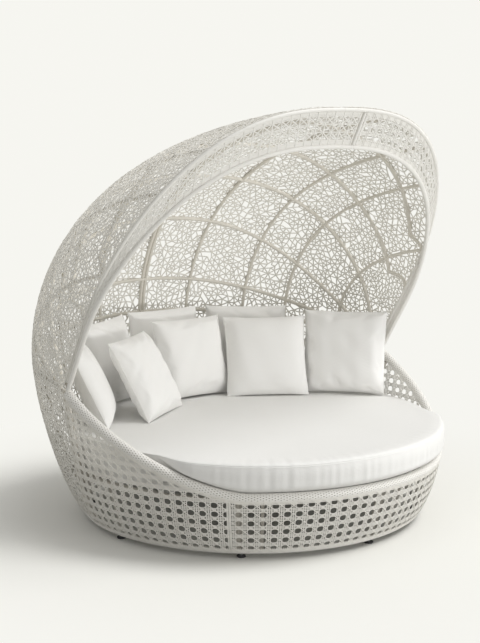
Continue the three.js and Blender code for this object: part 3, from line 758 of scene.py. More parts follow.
@dataclass(frozen=True)
class StrandSet:
    """Many flat strands of one thickness, made as one piece."""

    name: str
    thickness: float = 0.002

    def mesh(self, strands: Sequence[Strand]) -> bpy.types.Mesh:
        """Lays every strand as a strip of the same few kinds of grid.

        Args:
            strands: The strands.

        Returns:
            One mesh of open strips.
        """
        groups: dict[int, list[Strand]] = {}
        for strand in strands:
            groups.setdefault(len(strand.line) - 1, []).append(strand)
        parts = []
        for cells, group in groups.items():
            strip = formed_grid("strip", cells, 1, lambda u, v: np.stack([u, v, u * 0], -1))
            flat = coordinates(strip)
            step, side = np.rint(flat[:, 0] * cells).astype(int), flat[:, 1] * 2 - 1
            lines = np.stack([strand.line for strand in group])
            halves = np.stack([strand.half for strand in group])
            made = lines[:, step] + halves[:, step] * side[None, :, None]
            mesh = joined("strips", [strip.copy() for _ in group])
            bpy.data.meshes.remove(strip)
            mesh.vertices.foreach_set("co", made.reshape(-1, 3).ravel())
            parts.append(mesh)
        return joined(self.name, parts)

    def piece(self, strands: Sequence[Strand], slot: Slot,
              replaces: Sequence[str] = ()) -> bpy.types.Object:
        """The strands as a piece with their real thickness.

        Args:
            strands: The strands.
            slot: Material slot of the piece.
            replaces: The nodes that it stands for.

        Returns:
            The piece.
        """
        piece = added(self.name, self.mesh(strands), slot, replaces, smooth=False)
        wall = piece.modifiers.new("thickness", "SOLIDIFY")
        wall.thickness, wall.offset = self.thickness, 0.0
        return piece


@dataclass(frozen=True)
class Winding:
    """Flat strand wound closely round a tube."""

    radius: float
    pitch: float = 0.009
    groove: float = 0.09
    slant: float = 1.0
    around: int = 8
    steps: int = 2

    def mesh(self, name: str, path: Points, side: Points) -> bpy.types.Mesh:
        """A wound tube along a path.

        Args:
            name: Name of the mesh.
            path: Middle of the tube.
            side: A direction across the tube at each point of the path.

        Returns:
            The closed tube.
        """
        run = run_length(path)[-1]
        cells = max(2, ceil(run / self.pitch * self.steps))
        line, side = resampled(path, cells + 1, side)
        first, second = cross_frame(line, side)

        def form(u: Points, v: Points) -> Points:
            """Place on the wound tube.

            Args:
                u: Share of the way along it.
                v: Share of the way round it.

            Returns:
                The place.
            """
            at = np.rint(u * cells).astype(int)
            turn = v * 2 * pi
            phase = (at / self.steps + self.slant * v) % 1.0
            crest = 1 - self.groove * np.abs(2 * phase - 1) ** 2
            out = self.radius * crest[:, None]
            return line[at] + out * (first[at] * np.cos(turn)[:, None]
                                     + second[at] * np.sin(turn)[:, None])

        return formed_grid(name, cells, self.around, form, closed=True, capped=True)


# Weaves


@dataclass
class Net:
    """Loose net of strands over part of the shell, knotted at even distances, joined at random."""

    shell: Shell
    hand: Hand
    low_row: float
    high_row: float
    seed: int
    spacing: float = 0.0235
    close: float = 0.80
    fade: float = 0.62
    dropped: float = 0.10
    longest: float = 2.4
    settling: int = 2
    straight: float = -0.72
    width: float = 0.0066
    widths: Pair = (0.85, 1.15)
    weaving: float = 0.0010
    uneven: float = 0.0004
    depth: float = 0.0040
    margin: float = 0.004
    edge_points: int = 3000
    tries: int = 50000
    settled_share: float = 0.65
    middle: Triple = (0.0, -0.10, 0.62)

    def gap(self, places: Points) -> Points:
        """Distance between knots, which closes up towards the corner.

        Args:
            places: The places.

        Returns:
            The distance at each of them.
        """
        corner = np.array([self.hand.value * self.shell.spread,
                           self.shell.setback + self.shell.bowl.back,
                           self.shell.bowl.corner_height])
        away = np.clip(np.linalg.norm(places - corner, axis=-1) / self.fade, 0, 1)
        return self.spacing * (self.close + (1 - self.close) * away * away)

    def knots(self, rng: np.random.Generator) -> tuple[Points, Points, Points]:
        """Scatters the knots, first along the edges and then between them.

        Args:
            rng: Source of chance.

        Returns:
            Places, outward directions, and whether each lies on an edge.
        """
        first, last = self.margin, 1 - self.margin
        fine = np.linspace(first, last, self.edge_points)
        level = np.ones_like(fine)
        along = self.low_row + (self.high_row - self.low_row) * fine
        row = np.concatenate([level * self.low_row, level * self.high_row, along, along,
                              rng.uniform(self.low_row, self.high_row, self.tries)])
        side = np.concatenate([fine, fine, level * first, level * last,
                               rng.uniform(first, last, self.tries)]) * self.hand.value
        places = self.shell.inside(row, side, self.depth)
        gaps = self.gap(places)
        tree = KDTree(len(places))
        for index, place in enumerate(places):
            tree.insert(place, index)
        tree.balance()
        taken, kept = bytearray(len(places)), []
        for index, place in enumerate(places):
            if taken[index]:
                continue
            kept.append(index)
            for _, other, _ in tree.find_range(place, gaps[index]):
                taken[other] = 1
        kept = np.array(kept)
        return places[kept], self.shell.normal(row[kept], side[kept]), kept < 4 * len(fine)

    def joins(self, places: Points) -> list[tuple[int, int]]:
        """Joins neighbouring knots, found as seen from inside the hood.

        Args:
            places: The knots.

        Returns:
            Pairs of knots.
        """
        ray = unit(places - np.array(self.middle))
        axis = unit(ray.mean(0))
        first = unit(np.cross(axis, [0.0, 0.0, 1.0]))
        second = np.cross(axis, first)
        flat = np.stack([ray @ first, ray @ second], -1) / (1 + ray @ axis)[:, None]
        _, edges, _, sources, *_ = delaunay_2d_cdt([Vector(at) for at in flat], [], [], 0, 1e-7)
        gaps, pairs = self.gap(places), []
        for one, other in edges:
            a, b = sources[one][0], sources[other][0]
            if np.linalg.norm(places[a] - places[b]) < self.longest * max(gaps[a], gaps[b]):
                pairs.append((a, b))
        return pairs

    def settled(self, places: Points, edge: Points) -> Points:
        """Moves each knot that is on no edge towards the middle of its neighbours.

        Args:
            places: The knots.
            edge: Whether each lies on an edge.

        Returns:
            The moved knots.
        """
        for _ in range(self.settling):
            one, other = np.array(self.joins(places)).T
            total, count = np.zeros_like(places), np.zeros(len(places))
            for here, there in ((one, other), (other, one)):
                np.add.at(total, here, places[there])
                np.add.at(count, here, 1)
            middle = total / np.maximum(count, 1)[:, None]
            moved = places * (1 - self.settled_share) + middle * self.settled_share
            places = np.where(edge[:, None], places, moved)
        return places

    def chains(self, places: Points, pairs: Sequence[tuple]) -> list[list[int]]:
        """Follows the straightest way through each knot.

        Args:
            places: The knots.
            pairs: The joined knots.

        Returns:
            Knots along each strand.
        """
        at_knot: dict[int, list[int]] = {}
        for index, pair in enumerate(pairs):
            for knot in pair:
                at_knot.setdefault(knot, []).append(index)
        onward: dict[tuple[int, int], int] = {}
        for knot, here in at_knot.items():
            far = [pairs[index][0] + pairs[index][1] - knot for index in here]
            way = unit(places[far] - places[knot])
            bends = way @ way.T
            order = sorted((bends[i, j], i, j) for i in range(len(here)) for j in range(i))
            used = set()
            for bend, i, j in order:
                if bend > self.straight:
                    break
                if i not in used and j not in used:
                    used |= {i, j}
                    onward[here[i], knot], onward[here[j], knot] = here[j], here[i]
        seen, made = set(), []
        for index, pair in enumerate(pairs):
            if index in seen:
                continue
            seen.add(index)
            chain = list(pair)
            for _ in range(2):
                edge, knot = index, chain[-1]
                while (edge, knot) in onward and onward[edge, knot] not in seen:
                    edge = onward[edge, knot]
                    seen.add(edge)
                    knot = pairs[edge][0] + pairs[edge][1] - knot
                    chain.append(knot)
                chain.reverse()
            made.append(chain)
        return made

    def strands(self) -> list[Strand]:
        """Lays the strands, over and under each other in turn.

        Returns:
            The strands.
        """
        rng = np.random.default_rng(self.seed)
        places, normals, edge = self.knots(rng)
        places = self.settled(places, edge)
        pairs = [(a, b) for a, b in self.joins(places)
                 if (edge[a] and edge[b]) or rng.random() > self.dropped]
        made = []
        for chain in self.chains(places, pairs):
            line, out = places[chain], normals[chain]
            lift = self.weaving * (-1.0) ** (np.arange(len(chain)) + rng.integers(2))
            line = line + out * (lift + rng.normal() * self.uneven)[:, None]
            made.append(flat_strand(halfway(line), halfway(out),
                                    self.width * rng.uniform(*self.widths)))
        return made


def halfway(line: Points) -> Points:
    """Adds a smooth point between each two.

    Args:
        line: The points of a line, or directions on it.

    Returns:
        The denser line.
    """
    padded = np.concatenate([2 * line[:1] - line[1:2], line, 2 * line[-1:] - line[-2:-1]])
    between = (9 * (padded[1:-2] + padded[2:-1]) - padded[:-3] - padded[3:]) / 16
    made = np.empty((2 * len(line) - 1, line.shape[1]))
    made[::2], made[1::2] = line, between
    return made


@dataclass
class CaneWall:
    """Cane weave of the bowl's front wall: triple uprights and rails, and crossing diagonals."""

    bowl: Bowl
    column: float = radians(3.3)
    row: float = 0.0421
    first_row: float = 0.0353
    triple: tuple[float, ...] = (-0.0090, 0.0, 0.0090)
    rails: tuple[float, ...] = (-0.0068, 0.0, 0.0068)
    width: float = 0.0034
    rail_lift: float = 0.0012
    upright_lift: float = -0.0004
    slant_lifts: Pair = (0.0022, 0.0004)
    edge_lift: float = 0.0015
    end_lift: float = 0.0016
    end_pitch: float = 1.1
    step: float = 0.013
    depth: float = 0.0028
    low: float = 0.034
    rim_start: float = 0.004
    floor_start: float = 0.001
    rim_step: float = 0.0060
    floor_step: float = 0.0062
    band_height: float = 0.020
    rim_band: float = 0.018
    tuck: float = 0.35
    shorts: int = 6
    short_points: int = 7
    level_points: int = 1400
    upright_points: int = 300

    @property
    def rise(self) -> Points:
        """Heights up the wall."""
        return np.linspace(self.low, self.bowl.corner_height, self.upright_points)

    def surface(self, angle: Points, height: Points, lift: float) -> Points:
        """A place on the wall's face."""
        return self.bowl.spot(self.bowl.radius(height) - self.depth + lift, angle, height)

    def top(self, angle: Points) -> Points:
        """Height at which the weave meets the rim's winding."""
        return self.bowl.rim(angle) - self.bowl.rim_radius * self.tuck

    def strand(self, angle: Points, height: Points, lift: float, ends: Pair) -> list[Strand]:
        """Cuts a line on the wall to the panel and makes strands of what is left.

        Args:
            angle: Angles along the line.
            height: Heights along the line.
            lift: How far it lies outside the middle of the weave.
            ends: First and last angle of the panel.

        Returns:
            The strands.
        """
        keep = (angle >= ends[0]) & (angle <= ends[1]) & (height >= self.low - 1e-9) \
            & (height <= self.top(angle))

        def form(run: slice) -> tuple[Points, Points]:
            """Places and outward directions on the wall."""
            line = self.surface(angle[run], height[run], lift)
            return line, unit(self.surface(angle[run], height[run], lift + 0.01) - line)

        return kept_strands(keep, 4, self.step, self.width, form)

    def rails_of(self, ends: Pair) -> list[Strand]:
        """Level strands, and those that follow the rim and the floor ring.

        Args:
            ends: First and last angle of the panel.

        Returns:
            The strands.
        """
        fine = np.linspace(*ends, self.level_points)
        rows = int((self.bowl.corner_height - self.first_row) / self.row) + 1
        made: list[Strand] = []
        for k in range(rows + 1):
            for shift in self.rails:
                height = self.first_row + k * self.row + shift
                made += self.strand(fine, np.full_like(fine, height), self.rail_lift, ends)
        for k in range(3):
            under = self.top(fine) - self.rim_start - k * self.rim_step
            above = np.full_like(fine, self.low + self.floor_start + k * self.floor_step)
            for height in (under, above):
                made += self.strand(fine, height, self.edge_lift, ends)
        return made

    def uprights(self, ends: Pair) -> list[Strand]:
        """Upright strands, and the short ones that fill the bands at the rim and the floor.

        Args:
            ends: First and last angle of the panel.

        Returns:
            The strands.
        """
        made: list[Strand] = []
        rise = self.rise
        columns = range(ceil(ends[0] / self.column) - 1, ceil(ends[1] / self.column) + 1)
        for k in columns:
            for shift in self.triple:
                angle = np.full_like(rise, k * self.column + shift / self.bowl.floor_radius)
                made += self.strand(angle, rise, self.upright_lift, ends)
        foot, head = np.linspace((0, 1), (1, 0), self.short_points).T
        short_turn = self.column / self.shorts
        for k in range(ceil(ends[0] / short_turn), int(ends[1] / short_turn) + 1):
            angle = np.full_like(foot, (k + 0.5) * short_turn)
            made += self.strand(angle, self.low + foot * self.band_height, 0.0, ends)
            made += self.strand(angle, self.top(angle) - 1e-6 - head * self.rim_band, 0.0, ends)
        return made

    def diagonals(self, ends: Pair) -> list[Strand]:
        """Crossing slanted strands, which cut the corners of the openings.

        Args:
            ends: First and last angle of the panel.

        Returns:
            The strands.
        """
        made: list[Strand] = []
        rise = self.rise
        reach = ceil((self.bowl.corner_height - self.first_row) / self.row) + 2
        first, last = int(ends[0] / self.column) - reach, int(ends[1] / self.column) + reach
        for k in range(first, last + 1):
            for hand, lift in zip((-1, 1), self.slant_lifts):
                turn = (k + 0.5) + hand * (rise - self.first_row) / self.row
                made += self.strand(turn * self.column, rise, lift, ends)
        return made

    def strands(self, ends: Pair) -> list[Strand]:
        """All strands of a panel.

        Args:
            ends: First and last angle of the panel.

        Returns:
            The strands.
        """
        made = self.rails_of(ends) + self.uprights(ends) + self.diagonals(ends)
        rise = self.rise
        for edge in ends:
            for k in range(2):
                inward = (k + 0.5) * self.width * self.end_pitch / self.bowl.floor_radius
                angle = edge + inward * (1 if edge == ends[0] else -1)
                made += self.strand(np.full_like(rise, angle), rise, self.end_lift, ends)
        return made


# Sub-assemblies


@dataclass
class Base:
    """The bowl: its cane walls, wound rim and wound floor ring, and the parts carried over."""

    bowl: Bowl = field(default_factory=Bowl)
    seam: float = radians(-44)
    seam_gap: float = 0.0005
    rim: Winding = Winding(0.0198, 0.012, 0.0, 0.0, 16, 1)
    ring: Winding = Winding(0.0118, 0.0065, 0.10, 1.0, 10, 2)
    braid_strands: int = 12
    braid_turn: float = 0.30
    braid_width: float = 0.0062
    braid_step: float = 0.011
    braid_lift: float = 0.0012
    braid_weave: float = 0.0005
    braid_shift: float = 0.25
    braid_thickness: float = 0.0014
    floor_tube: float = 0.011
    points: int = 400

    def braid(self, path: Points, out: Points) -> list[Strand]:
        """Strands that run slantwise round the rim both ways, over and under each other.

        Args:
            path: Middle of the rim.
            out: A direction across it at each point.

        Returns:
            The strands.
        """
        run = run_length(path)[-1]
        line, side = resampled(path, ceil(run / self.braid_step), out)
        first, second = cross_frame(line, side)
        at = np.linspace(0, run, len(line))
        made = []
        for hand in (-1, 1):
            for k in range(self.braid_strands):
                turn = 2 * pi * (hand * at / self.braid_turn + (k + self.braid_shift * hand)
                                 / self.braid_strands)
                weave = self.braid_weave * hand * np.sin(
                    at / self.braid_turn * self.braid_strands * 2 * pi + k * pi)
                round_out = first * np.cos(turn)[:, None] + second * np.sin(turn)[:, None]
                strip = line + round_out * (self.rim.radius + self.braid_lift + weave)[:, None]
                made.append(flat_strand(strip, round_out, self.braid_width))
        return made

    def weave(self) -> None:
        """Lays the two cane panels."""
        wall = CaneWall(self.bowl)
        end = self.bowl.corner_angle - self.seam_gap / self.bowl.floor_radius
        gap = self.seam_gap / self.bowl.floor_radius
        for hand, ends in ((Hand.LEFT, (-end, self.seam - gap)),
                           (Hand.RIGHT, (self.seam + gap, end))):
            StrandSet(f"wall_cane_{hand.word}").piece(
                wall.strands(ends), Slot.WEAVE, [f"base_weave_{hand.word}"])

    def windings(self) -> None:
        """Winds the rim and the floor ring."""
        bowl = self.bowl
        angle = np.linspace(-bowl.rim_end, bowl.rim_end, self.points)
        height = bowl.rim(angle)
        path = bowl.spot(bowl.radius(height) - bowl.rim_radius, angle, height)
        out = bowl.outward(angle)
        # The core is dark as painted shade for the braid's gaps, not as a strand colour of its
        # own.
        added("rim_core", self.rim.mesh("rim_core", path, out), Slot.WRAP, ["base_rim"],
              finish=PAINTED_SHADE_CORE)
        StrandSet("rim_braid", self.braid_thickness).piece(
            self.braid(path, out), Slot.WRAP, ["base_rim"])
        turn = np.linspace(-pi, pi, self.points)
        path = bowl.spot(bowl.floor_radius - self.floor_tube, turn,
                         bowl.floor_gap + self.floor_tube)
        out = bowl.outward(turn)
        added("floor_ring_winding", self.ring.mesh("floor_ring_winding", path, out), Slot.WRAP)

    def carried(self, nodes: Mapping[str, bpy.types.Object]) -> None:
        """Gives the nodes that stay their finishes.

        Args:
            nodes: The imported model's nodes by name.
        """
        kinds = (("glide_stem", Slot.STEM), ("glide_pad", Slot.PAD), ("deck_slat", Slot.SLAT),
                 ("seam_bolt", Slot.BOLT), ("base_frame", Slot.TUBE))
        for name, node in nodes.items():
            for start, slot in kinds:
                if name.startswith(start):
                    node.data.materials.clear()
                    node.data.materials.append(MATERIALS[slot])

    def build(self, nodes: Mapping[str, bpy.types.Object]) -> None:
        """Makes everything of the base.

        Args:
            nodes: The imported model's nodes by name.
        """
        self.weave()
        self.windings()
        self.carried(nodes)


@dataclass
class Hood:
    """The hood: wound bows and ribs, the dome's net and the net of the back."""

    shell: Shell = field(default_factory=Shell)
    bow: Winding = Winding(0.0100, 0.0085, 0.12, 1.0, 8, 2)
    rib: Winding = Winding(0.0088, 0.0085, 0.12, 1.0, 8, 2)
    ribs: tuple[float, ...] = (0.17, 0.385, 0.55, 0.78)
    short_ends: tuple[tuple[int, float], ...] = ((1, 0.78), (2, 0.89))
    weave_depth: float = 0.0055
    corner_trim: float = 0.020
    bow_end: float = 0.995
    rib_rows: Triple = (0.02, 0.05, 7.94)
    rib_points: tuple[int, int] = (220, 70)
    net_end: float = 7.93
    half_gap: float = 0.0004
    points: int = 160
    post_points: int = 60
    short_rise: int = 14
    post_turn: float = 0.0123
    post_seat: float = 0.0035
    post_tip: float = 0.0155
    post_room: float = 0.03
    rail_height: float = 0.0626
    rail_radius: float = 0.837
    parting: float = 0.004
    seeds: tuple[int, int] = (11, 23)
    later_seed: int = 50

    def line(self, rows: Points, sides: Points, radius: float,
             trim: float = TRIM) -> tuple[Points, Points]:
        """A tube's path against the inner face of the weave.

        Args:
            rows: Rows along the path.
            sides: Sides along the path.
            radius: Radius of the tube.
            trim: Corner line to the arches' ends.

        Returns:
            The path and the outward direction along it.
        """
        depth = self.weave_depth + radius
        return self.shell.inside(rows, sides, depth, trim), self.shell.normal(rows, sides, trim)

    def bows(self, hand: Hand) -> list[bpy.types.Mesh]:
        """Half of each bow, from its corner or the front bow to the middle.

        Args:
            hand: The side of the daybed.

        Returns:
            The tubes.
        """
        ends = dict(self.short_ends)
        made = []
        for row in range(CORNER_ROW):
            side = np.linspace(ends.get(row, self.bow_end), 0.0, self.points) * hand.value
            rows, trim = np.full_like(side, float(row)), self.corner_trim
            if row in ends:
                rise = np.clip(np.linspace(0, self.short_rise, self.points), 0, 1)
                rows, trim = row * rise, TRIM
            path, out = self.line(rows, side, self.bow.radius, trim)
            made.append(self.bow.mesh(f"bow_{row}", path, out))
        return made

    def ribs_of(self, hand: Hand) -> list[bpy.types.Mesh]:
        """The ribs of a half, from the front bow down to the floor rail.

        Args:
            hand: The side of the daybed.

        Returns:
            The tubes.
        """
        first, middle_first, last = self.rib_rows
        rows = np.concatenate([np.linspace(first, CORNER_ROW, self.rib_points[0]),
                               np.linspace(CORNER_ROW + 0.01, last, self.rib_points[1])])
        made = []
        for share in self.ribs:
            path, out = self.line(rows, np.full_like(rows, share * hand.value), self.rib.radius)
            made.append(self.rib.mesh("rib", path, out))
        rows = rows[rows > middle_first]
        path, out = self.line(rows, np.zeros_like(rows), self.bow.radius)
        path[:, 0] += hand.value * (self.bow.radius + self.half_gap)
        made.append(self.bow.mesh("middle_rib", path, out))
        return made

    def foot(self, hand: Hand) -> list[bpy.types.Mesh]:
        """The floor rail and the corner post of a half.

        Args:
            hand: The side of the daybed.

        Returns:
            The tubes.
        """
        bowl = self.shell.bowl
        side = np.linspace(0.0, 1.0, self.points) * hand.value
        foot = self.shell.point(np.full_like(side, self.rib_rows[-1]), side)
        angle = np.arctan2(foot[:, 0], bowl.back - foot[:, 1])
        post_angle = hand.value * (bowl.corner_angle + self.post_turn)
        angle = np.where(np.abs(side) > 0.999, post_angle, angle)
        path = bowl.spot(self.rail_radius, angle, self.rail_height)
        path[0, 0] = hand.value * 0.001
        made = [self.bow.mesh("floor_rail", path, np.tile([0.0, 0.0, 1.0], (len(path), 1)))]
        heights = np.linspace(self.rail_height, bowl.corner_height - self.post_room,
                              self.post_points)
        depth = self.weave_depth + self.bow.radius + self.post_seat
        path = bowl.spot(bowl.radius(heights) - depth, post_angle, heights)
        end = np.array([[hand.value * (self.shell.spread - self.post_tip),
                         self.shell.setback + bowl.back, bowl.corner_height]])
        path = np.concatenate([path, end])
        out = np.tile(bowl.outward(post_angle), (len(path), 1))
        made.append(self.bow.mesh("corner_post", path, out))
        return made

    def nets(self, hand: Hand) -> None:
        """Weaves the dome and the back of a half.

        Args:
            hand: The side of the daybed.
        """
        later = self.later_seed if hand is Hand.RIGHT else 0
        dome = Net(self.shell, hand, 0.0, SEAM_ROW - self.parting, self.seeds[0] + later)
        back = Net(self.shell, hand, SEAM_ROW + self.parting, self.net_end,
                   self.seeds[1] + later, spacing=0.0215, close=0.92, fade=0.4,
                   middle=(0.0, -0.1, 0.35))
        for kind, net in (("hood", dome), ("back", back)):
            StrandSet(f"{kind}_net_{hand.word}").piece(
                net.strands(), Slot.WEAVE, [f"{kind}_weave_{hand.word}"])

    def build(self) -> None:
        """Makes everything of the hood."""
        for hand in Hand:
            name = f"hood_tubes_{hand.word}"
            front, *bows = self.bows(hand)
            stands_for = [f"hood_frame_{hand.word}"]
            # The front bow takes the paler wound-strand finish as painted light; the other tubes
            # take the darker copy as painted shade.
            added(f"front_bow_{hand.word}", front, Slot.WRAP, stands_for)
            mesh = joined(name, [*bows, *self.ribs_of(hand), *self.foot(hand)])
            added(name, mesh, Slot.WRAP, stands_for, finish=SHADED_HOOD_WINDING)
            self.nets(hand)


@dataclass
class Visor:
    """The visor: a wound lip ahead of the front bow, and the woven band between them."""

    shell: Shell = field(default_factory=Shell)
    reach: float = 1.322
    trim: float = 0.050
    forward: float = 0.034
    squareness: float = 2.45
    end: float = 0.9912
    joint: float = 0.045
    lip: Winding = Winding(0.0112, 0.0075, 0.12, 1.0, 10, 2)
    wrap: Winding = Winding(0.0085, 0.0075, 0.12, 1.0, 10, 2)
    bow_radius: float = 0.0100
    bow_depth: float = 0.0155
    width: float = 0.0048
    edge_width: float = 0.0054
    pitch: float = 0.048
    rows: int = 3
    margin: float = 0.13
    edge_pitch: float = 0.030
    edge_lift: float = 0.0018
    rail_lift: float = 0.0012
    upright_lift: float = -0.0006
    slant_lifts: Pair = (0.0022, 0.0004)
    rail_gap: float = 0.03
    upright_gap: float = 0.0052
    step: float = 0.016
    overlap: float = 0.02
    points: int = 900
    cross_points: int = 49
    lip_points: int = 500
    joint_points: int = 40
    tail_points: int = 20
    tail_from: float = 0.0062

    def low(self, side: Points) -> Points:
        """Middle of the lip.

        Args:
            side: Sides along it.

        Returns:
            The places.
        """
        ahead = np.array([0.0, -sin(self.shell.crest_tilt), -cos(self.shell.crest_tilt)])
        tilt = np.full_like(side, self.shell.crest_tilt)
        return self.shell.arch(side / self.end, tilt, self.reach, self.shell.half_width
                               - self.lip.radius, self.squareness, self.trim) \
            + ahead * self.forward

    def high(self, side: Points) -> Points:
        """Middle of the front bow."""
        return self.shell.inside(np.zeros_like(side), side, self.bow_depth)

    def band(self, side: Points, share: Points) -> Points:
        """A place between the front bow and the lip.

        Args:
            side: From -1 at the left corner to 1 at the right one.
            share: Share of the way from the bow to the lip.

        Returns:
            The place.
        """
        high, low = self.high(side), self.low(side)
        wide = np.linalg.norm(low - high, axis=-1)
        near, far = self.bow_radius / wide, 1 - self.lip.radius / wide
        at = near + (far - near) * share
        return high + (low - high) * at[..., None]

    def outward(self, side: Points) -> Points:
        """Direction out of the band's upper face.

        Args:
            side: Sides along the band.

        Returns:
            The direction at each of them.
        """
        step = 1e-4
        inner = np.clip(side, -self.end + step, self.end - step)
        along = self.low(inner + step) - self.low(inner - step)
        return unit(np.cross(along, self.low(inner) - self.high(inner)))

    def strand(self, side: Points, share: Points, lift: float, ends: Pair,
               width: float | None = None) -> list[Strand]:
        """Cuts a line on the band to a panel and makes strands of what is left.

        Args:
            side: Sides along the line.
            share: Shares of the way from the front bow to the lip.
            lift: How far it lies above the middle of the weave.
            ends: First and last side of the panel.
            width: Width of the strand, if it isn't the usual one.

        Returns:
            The strands.
        """
        keep = (side >= ends[0]) & (side <= ends[1]) \
            & (share >= -self.overlap) & (share <= 1 + self.overlap)

        def form(run: slice) -> tuple[Points, Points]:
            """Places and outward directions on the band."""
            out = self.outward(side[run])
            return self.band(side[run], share[run]) + out * lift, out

        return kept_strands(keep, 3, self.step, width or self.width, form)

    def edges(self, ends: Pair) -> list[Strand]:
        """The thick edges along the front bow and the lip.

        Args:
            ends: First and last side of the panel.

        Returns:
            The strands.
        """
        fine = np.linspace(*ends, self.points)
        made: list[Strand] = []
        for k in range(4):
            for share in (k * self.edge_pitch, 1 - k * self.edge_pitch):
                made += self.strand(fine, np.full_like(fine, share), self.edge_lift, ends,
                                    self.edge_width)
        return made

    def lattice(self, ends: Pair, stars: bool) -> list[Strand]:
        """The woven lattice of one panel.

        Args:
            ends: First and last side of the panel.
            stars: Whether all strands cross at the same places, as stars.

        Returns:
            The strands.
        """
        fine = np.linspace(*ends, self.points)
        run = run_length(self.band(fine, np.full_like(fine, 0.5)))
        columns = ceil(run[-1] / self.pitch)
        pitch = run[-1] / columns
        tall = np.linspace(0, 1, self.cross_points)
        made = self.edges(ends)
        margin, cell = self.margin, (1 - 2 * self.margin) / self.rows
        pair = (0,) if stars else (-1, 1)
        for k in range(self.rows + 1):
            for hand in pair:
                share = np.full_like(fine, margin + k * cell + hand * self.rail_gap)
                made += self.strand(fine, share, self.rail_lift, ends)
        for k in range(columns + 1):
            for hand in pair:
                at = np.interp(k * pitch + hand * self.upright_gap, run, fine)
                made += self.strand(np.full_like(tall, at), tall, self.upright_lift, ends)
        shift = 0.0 if stars else 0.5
        for k in range(-self.rows - 2, columns + self.rows + 2):
            for hand, lift in zip((-1, 1), self.slant_lifts):
                run_at = (k + shift + hand * (tall - margin) / cell) * pitch
                inside = (run_at >= 0) & (run_at <= run[-1])
                if inside.sum() >= 3:
                    made += self.strand(np.interp(run_at[inside], run, fine), tall[inside],
                                        lift, ends)
        return made

    def tail(self, hand: Hand) -> tuple[Points, Points]:
        """The lip's way from its end into the end of the rim.

        Args:
            hand: The side of the daybed.

        Returns:
            The path and a direction across it at each point.
        """
        bowl = self.shell.bowl
        near, start = self.low(np.array([self.end - self.tail_from, self.end]) * hand.value)
        height = bowl.rim(np.array(bowl.rim_end))
        stop = bowl.spot(bowl.radius(height) - bowl.rim_radius, hand.value * bowl.rim_end, height)
        bend = start + unit(start - near) * np.linalg.norm(stop - start) / 2
        share = np.linspace(0, 1, self.tail_points)[:, None]
        path = (1 - share) ** 2 * start + 2 * share * (1 - share) * bend + share ** 2 * stop
        across = self.high(np.array([self.end * hand.value])) - start
        return path, np.tile(across, (len(path), 1))

    def build(self) -> None:
        """Makes everything of the visor."""
        gap = self.wrap.radius / self.shell.half_width
        for hand, ends in ((Hand.LEFT, (-self.end, self.joint)),
                           (Hand.RIGHT, (self.joint, self.end))):
            side = np.linspace(*ends, self.lip_points)
            name = f"visor_lip_{hand.word}"
            lip = self.lip.mesh("lip", self.low(side), self.high(side) - self.low(side))
            mesh = joined(f"{name}_winding", [lip, self.lip.mesh("tail", *self.tail(hand))])
            added(f"{name}_winding", mesh, Slot.WRAP, [name])
            inner = (ends[0], ends[1] - gap) if hand is Hand.LEFT else (ends[0] + gap, ends[1])
            # The band's cane takes the paler wound-strand finish, not the woven one: painted light
            # on the visor.
            StrandSet(f"visor_cane_{hand.word}").piece(
                self.lattice(inner, hand is Hand.LEFT), Slot.WRAP, [f"visor_weave_{hand.word}"])
        at = np.full(self.joint_points, self.joint)
        path = self.band(at, np.linspace(0.0, 1.0, self.joint_points))
        mesh = self.wrap.mesh("visor_joint_winding", path, self.outward(at))
        added("visor_joint_winding", mesh, Slot.WRAP, ["visor_joint"])


